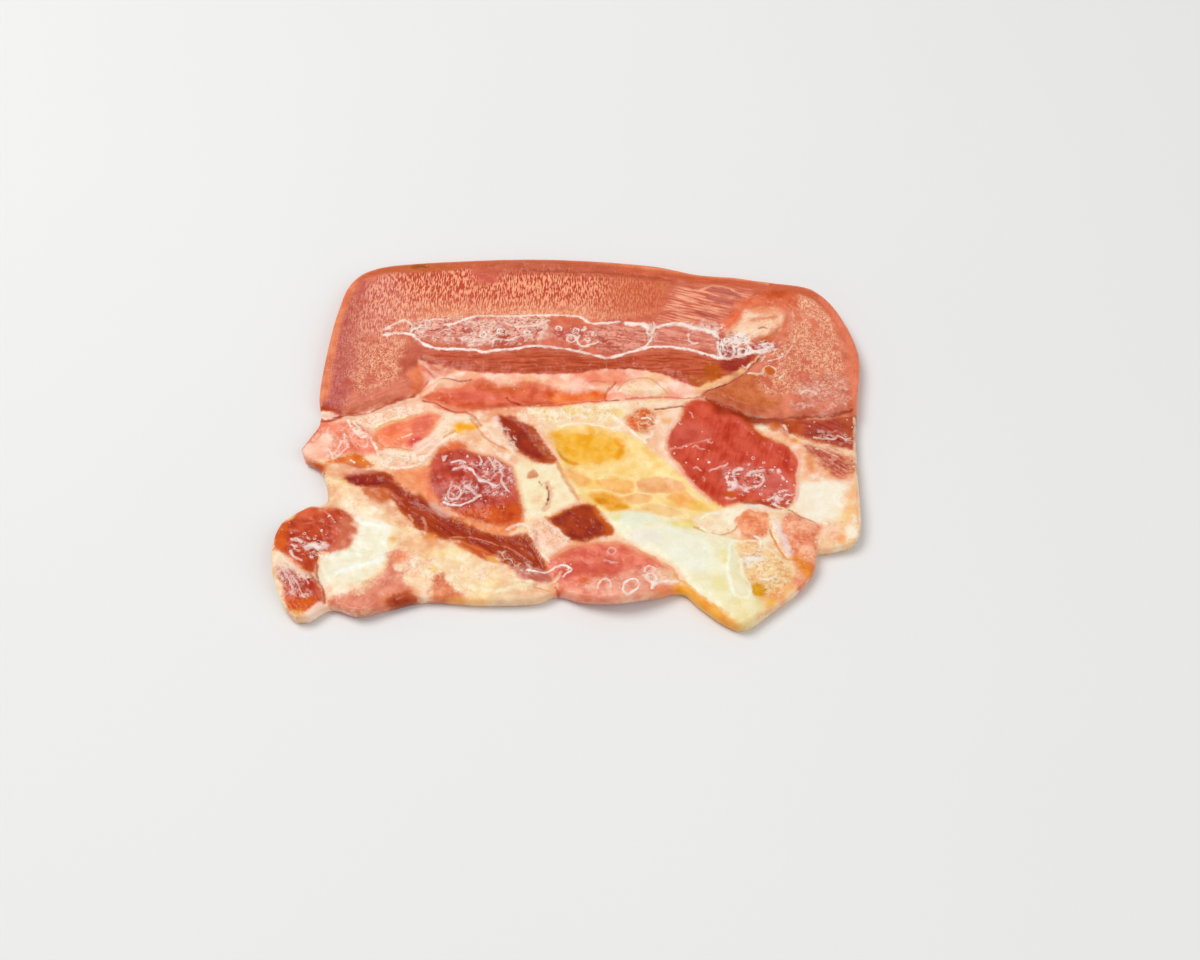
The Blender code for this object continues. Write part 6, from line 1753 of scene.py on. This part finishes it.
    def add_painted_glint_dots(self, below):
        """Painted glints: small bright dots of uneven size, some of them only a hoop."""
        tree = self.tree
        sockets = {"Vector": self.bend(GLINT_DOT_BEND), "Scale": 1 / GLINT_DOT_SPACING, "Randomness": 1.0}
        cells = tree.add("TexVoronoi", sockets).node
        away = cells.outputs["Distance"]
        chance = tree.add("SeparateColor", {"Color": cells.outputs["Color"]}).node.outputs
        radius = tree.math("MULTIPLY_ADD", chance[0], *GLINT_DOT_RADIUS)
        dot = tree.step(away, radius, tree.times(radius, GLINT_DOT_MIDDLE))
        hoop = tree.step(tree.math("ABSOLUTE", tree.math("SUBTRACT", away, radius)), *HOOP_EDGE)
        painted_glint_dot = tree.blend(tree.math("GREATER_THAN", chance[1], HOOPS_ABOVE), dot, hoop)
        painted_glint_dot = tree.times(painted_glint_dot, tree.math("GREATER_THAN", radius, SMALLEST_GLINT_DOT))
        painted_glint_dot = tree.times(painted_glint_dot, tree.times(self.share("painted_glint_dots"), self.fade))
        return tree.mix(painted_glint_dot, below, tree.noted("painted_glint_dots_light")), painted_glint_dot

    def add_lines(self, below, name):
        """Lays one group of drawn lines over what is there, which fade here and there."""
        tree = self.tree
        offset = tree.noted(name + "_offset", "Vector")
        beyond = tree.split(offset)[2]
        flat = tree.vector("MULTIPLY_ADD", offset, (1, 1, 0), self.drift)
        away = tree.math("MAXIMUM", tree.vector("LENGTH", flat, output="Value"), beyond)
        half, strength, _ = tree.split(tree.noted(name + "_width", "Vector"))
        width = tree.times(half, self.thick)
        share = tree.step(tree.math("DIVIDE", away, width), *LINE_EDGE)
        faintest = FAINTEST[name]
        fading = tree.math("MULTIPLY_ADD", self.fade, 1 - faintest, faintest)
        share = tree.times(share, tree.times(strength, fading))
        return tree.mix(share, below, tree.noted(name + "_colour")), share


def meat_colour(tree, skin):
    """The slice's colour, tissue by tissue from the bottom up with painted highlights and shade over it, and
    what of it stands up or lies low.
    """
    colour = tree.mix(skin.mottled, *(rgb(*tone) for tone in CREAM))
    for name in ROOT_LEVELS:
        colour = skin.add_level(colour, name, FRINGES.get(name))
        if name == "fats":
            colour = skin.add_fat_detail(colour)
    for name in BAND_LEVELS:
        colour = skin.add_level(colour, name)
    shares = {}
    colour, shares["strand"] = skin.add_strands(colour)
    colour = skin.add_level(skin.add_rind(colour), "rim_areas")
    colour, shares["shadow_lines"] = skin.add_lines(colour, "shadow_lines")
    colour, shares["veins_and_painted_gloss"] = skin.add_lines(colour, "veins_and_painted_gloss")
    colour, shares["painted_film"] = skin.add_painted_film(colour)
    colour, shares["painted_glint_dot"] = skin.add_painted_glint_dots(colour)
    colour, shares["painted_highlight_lines"] = skin.add_lines(colour, "painted_highlight_lines")
    grain = tree.math("ADD", tree.cloud(skin.place, GRAIN_SIZE), -0.5)
    bright = tree.math("MULTIPLY_ADD", grain, tree.noted("grainy", "Fac"), 1.0)
    return tree.add("HueSaturation", {"Color": colour, "Value": bright}), shares


def wet_meat():
    """The whole slice's material: the tissues' colours with painted highlights and shade, their fine relief
    and a rippled wet film.
    """
    material = bpy.data.materials.new("raw_tongue")
    tree = Tree(material)
    skin = Skin(tree)
    colour, shares = meat_colour(tree, skin)

    # The wet film's white sheen comes from the shader, so it is taken off the colour here.
    colour = tree.mix(1.0, colour, (*SHEEN, 1.0), blend_type="SUBTRACT", clamp_result=True)

    height = tree.times(skin.mottled, MOTTLE_RISE)
    for name, rise in RISES.items():
        height = tree.math("MULTIPLY_ADD", shares[name], rise, height)
    body_normal = tree.add("Bump", {"Height": height, "Distance": MM, "Strength": 1.0})
    ripple = tree.cloud(skin.place, RIPPLE_SIZE, distortion=RIPPLE_BEND)
    ripple = tree.math("MULTIPLY_ADD", ripple, RIPPLE_RISE, height)
    fine_ripple = tree.cloud(skin.place, FINE_RIPPLE_SIZE, detail=1)
    ripple = tree.math("MULTIPLY_ADD", fine_ripple, FINE_RIPPLE_RISE, ripple)
    film_normal = tree.add("Bump", {"Height": ripple, "Distance": MM, "Strength": 1.0})

    uneven = {"Base Color": colour, "Normal": body_normal, "Coat Normal": film_normal}
    tree.plug(tree.nodes["Principled BSDF"], uneven | WET_SURFACE)
    return material


# ---------------------------------------------------------------- floor, light and camera

# The floor and the lamps are given in metres.
FLOOR_SIZE = 6.0
FLOOR_TONES = ((0.80, 0.80, 0.795, 1), (0.84, 0.84, 0.835, 1))
FLOOR_TONE_SIZE = 0.25
SKY_STRENGTH = 0.46
# (name, place, size, power)
LAMPS = [
    ("key", (-0.55, 0.25, 1.1), 0.8, 8.8),
    ("fill", (0.9, -0.6, 0.9), 1.2, 4.3),
]
VIEW_DOWN = math.radians(54.5)  # how far the camera looks down
LENS_MM = 50.0
SENSOR_MM = 36.0
VIEW_AWAY = 451.8  # from the camera to the point it looks at
LOOK_AT = (9.0, -12.0, 3.5)


def floor():
    bpy.ops.mesh.primitive_plane_add(size=FLOOR_SIZE)
    plane = bpy.context.object
    plane.name = "floor"
    paint = bpy.data.materials.new("floor_matt")
    tree = Tree(paint)
    tone = tree.cloud(tree.add("TexCoord", {}, "Object"), FLOOR_TONE_SIZE)
    sockets = {"Base Color": tree.mix(tone, *FLOOR_TONES), "Roughness": 0.8, "Specular IOR Level": 0.1}
    tree.plug(tree.nodes["Principled BSDF"], sockets)
    plane.data.materials.append(paint)


def area_light(name, place, size, power):
    lamp = bpy.data.lights.new(name, "AREA")
    lamp.shape = "DISK"
    lamp.size = size
    lamp.energy = power
    body = bpy.data.objects.new(name, lamp)
    body.location = place
    body.rotation_euler = (-Vector(place)).to_track_quat("-Z", "Y").to_euler()
    bpy.context.scene.collection.objects.link(body)


def light():
    world = bpy.data.worlds.new("studio")
    world.use_nodes = True
    sky = world.node_tree.nodes["Background"]
    sky.inputs["Color"].default_value = (1, 1, 1, 1)
    sky.inputs["Strength"].default_value = SKY_STRENGTH
    bpy.context.scene.world = world
    for lamp in LAMPS:
        area_light(*lamp)
    bpy.context.scene.view_settings.view_transform = "Standard"


def camera():
    eye = bpy.data.cameras.new("camera")
    eye.lens = LENS_MM
    eye.sensor_width = SENSOR_MM
    body = bpy.data.objects.new("camera", eye)
    aim = Vector(LOOK_AT) - Vector((*PLAN_MIDDLE, 0))
    away = Vector((0, -math.cos(VIEW_DOWN), math.sin(VIEW_DOWN))) * VIEW_AWAY
    body.location = (aim + away) * MM
    body.rotation_euler = (math.pi / 2 - VIEW_DOWN, 0, 0)
    bpy.context.scene.collection.objects.link(body)
    bpy.context.scene.camera = body


OUTLINE_LOOP = smooth_loop(OUTLINE, OUTLINE_STEPS)
PLAN_MIDDLE = (OUTLINE_LOOP.min(0) + OUTLINE_LOOP.max(0)) / 2

meat = bpy.data.objects.new("tongue_meat", build_slice())
bpy.context.scene.collection.objects.link(meat)
meat.data.materials.append(wet_meat())
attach(meat, "root")
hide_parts("tongue_slice")

floor()
light()
camera()
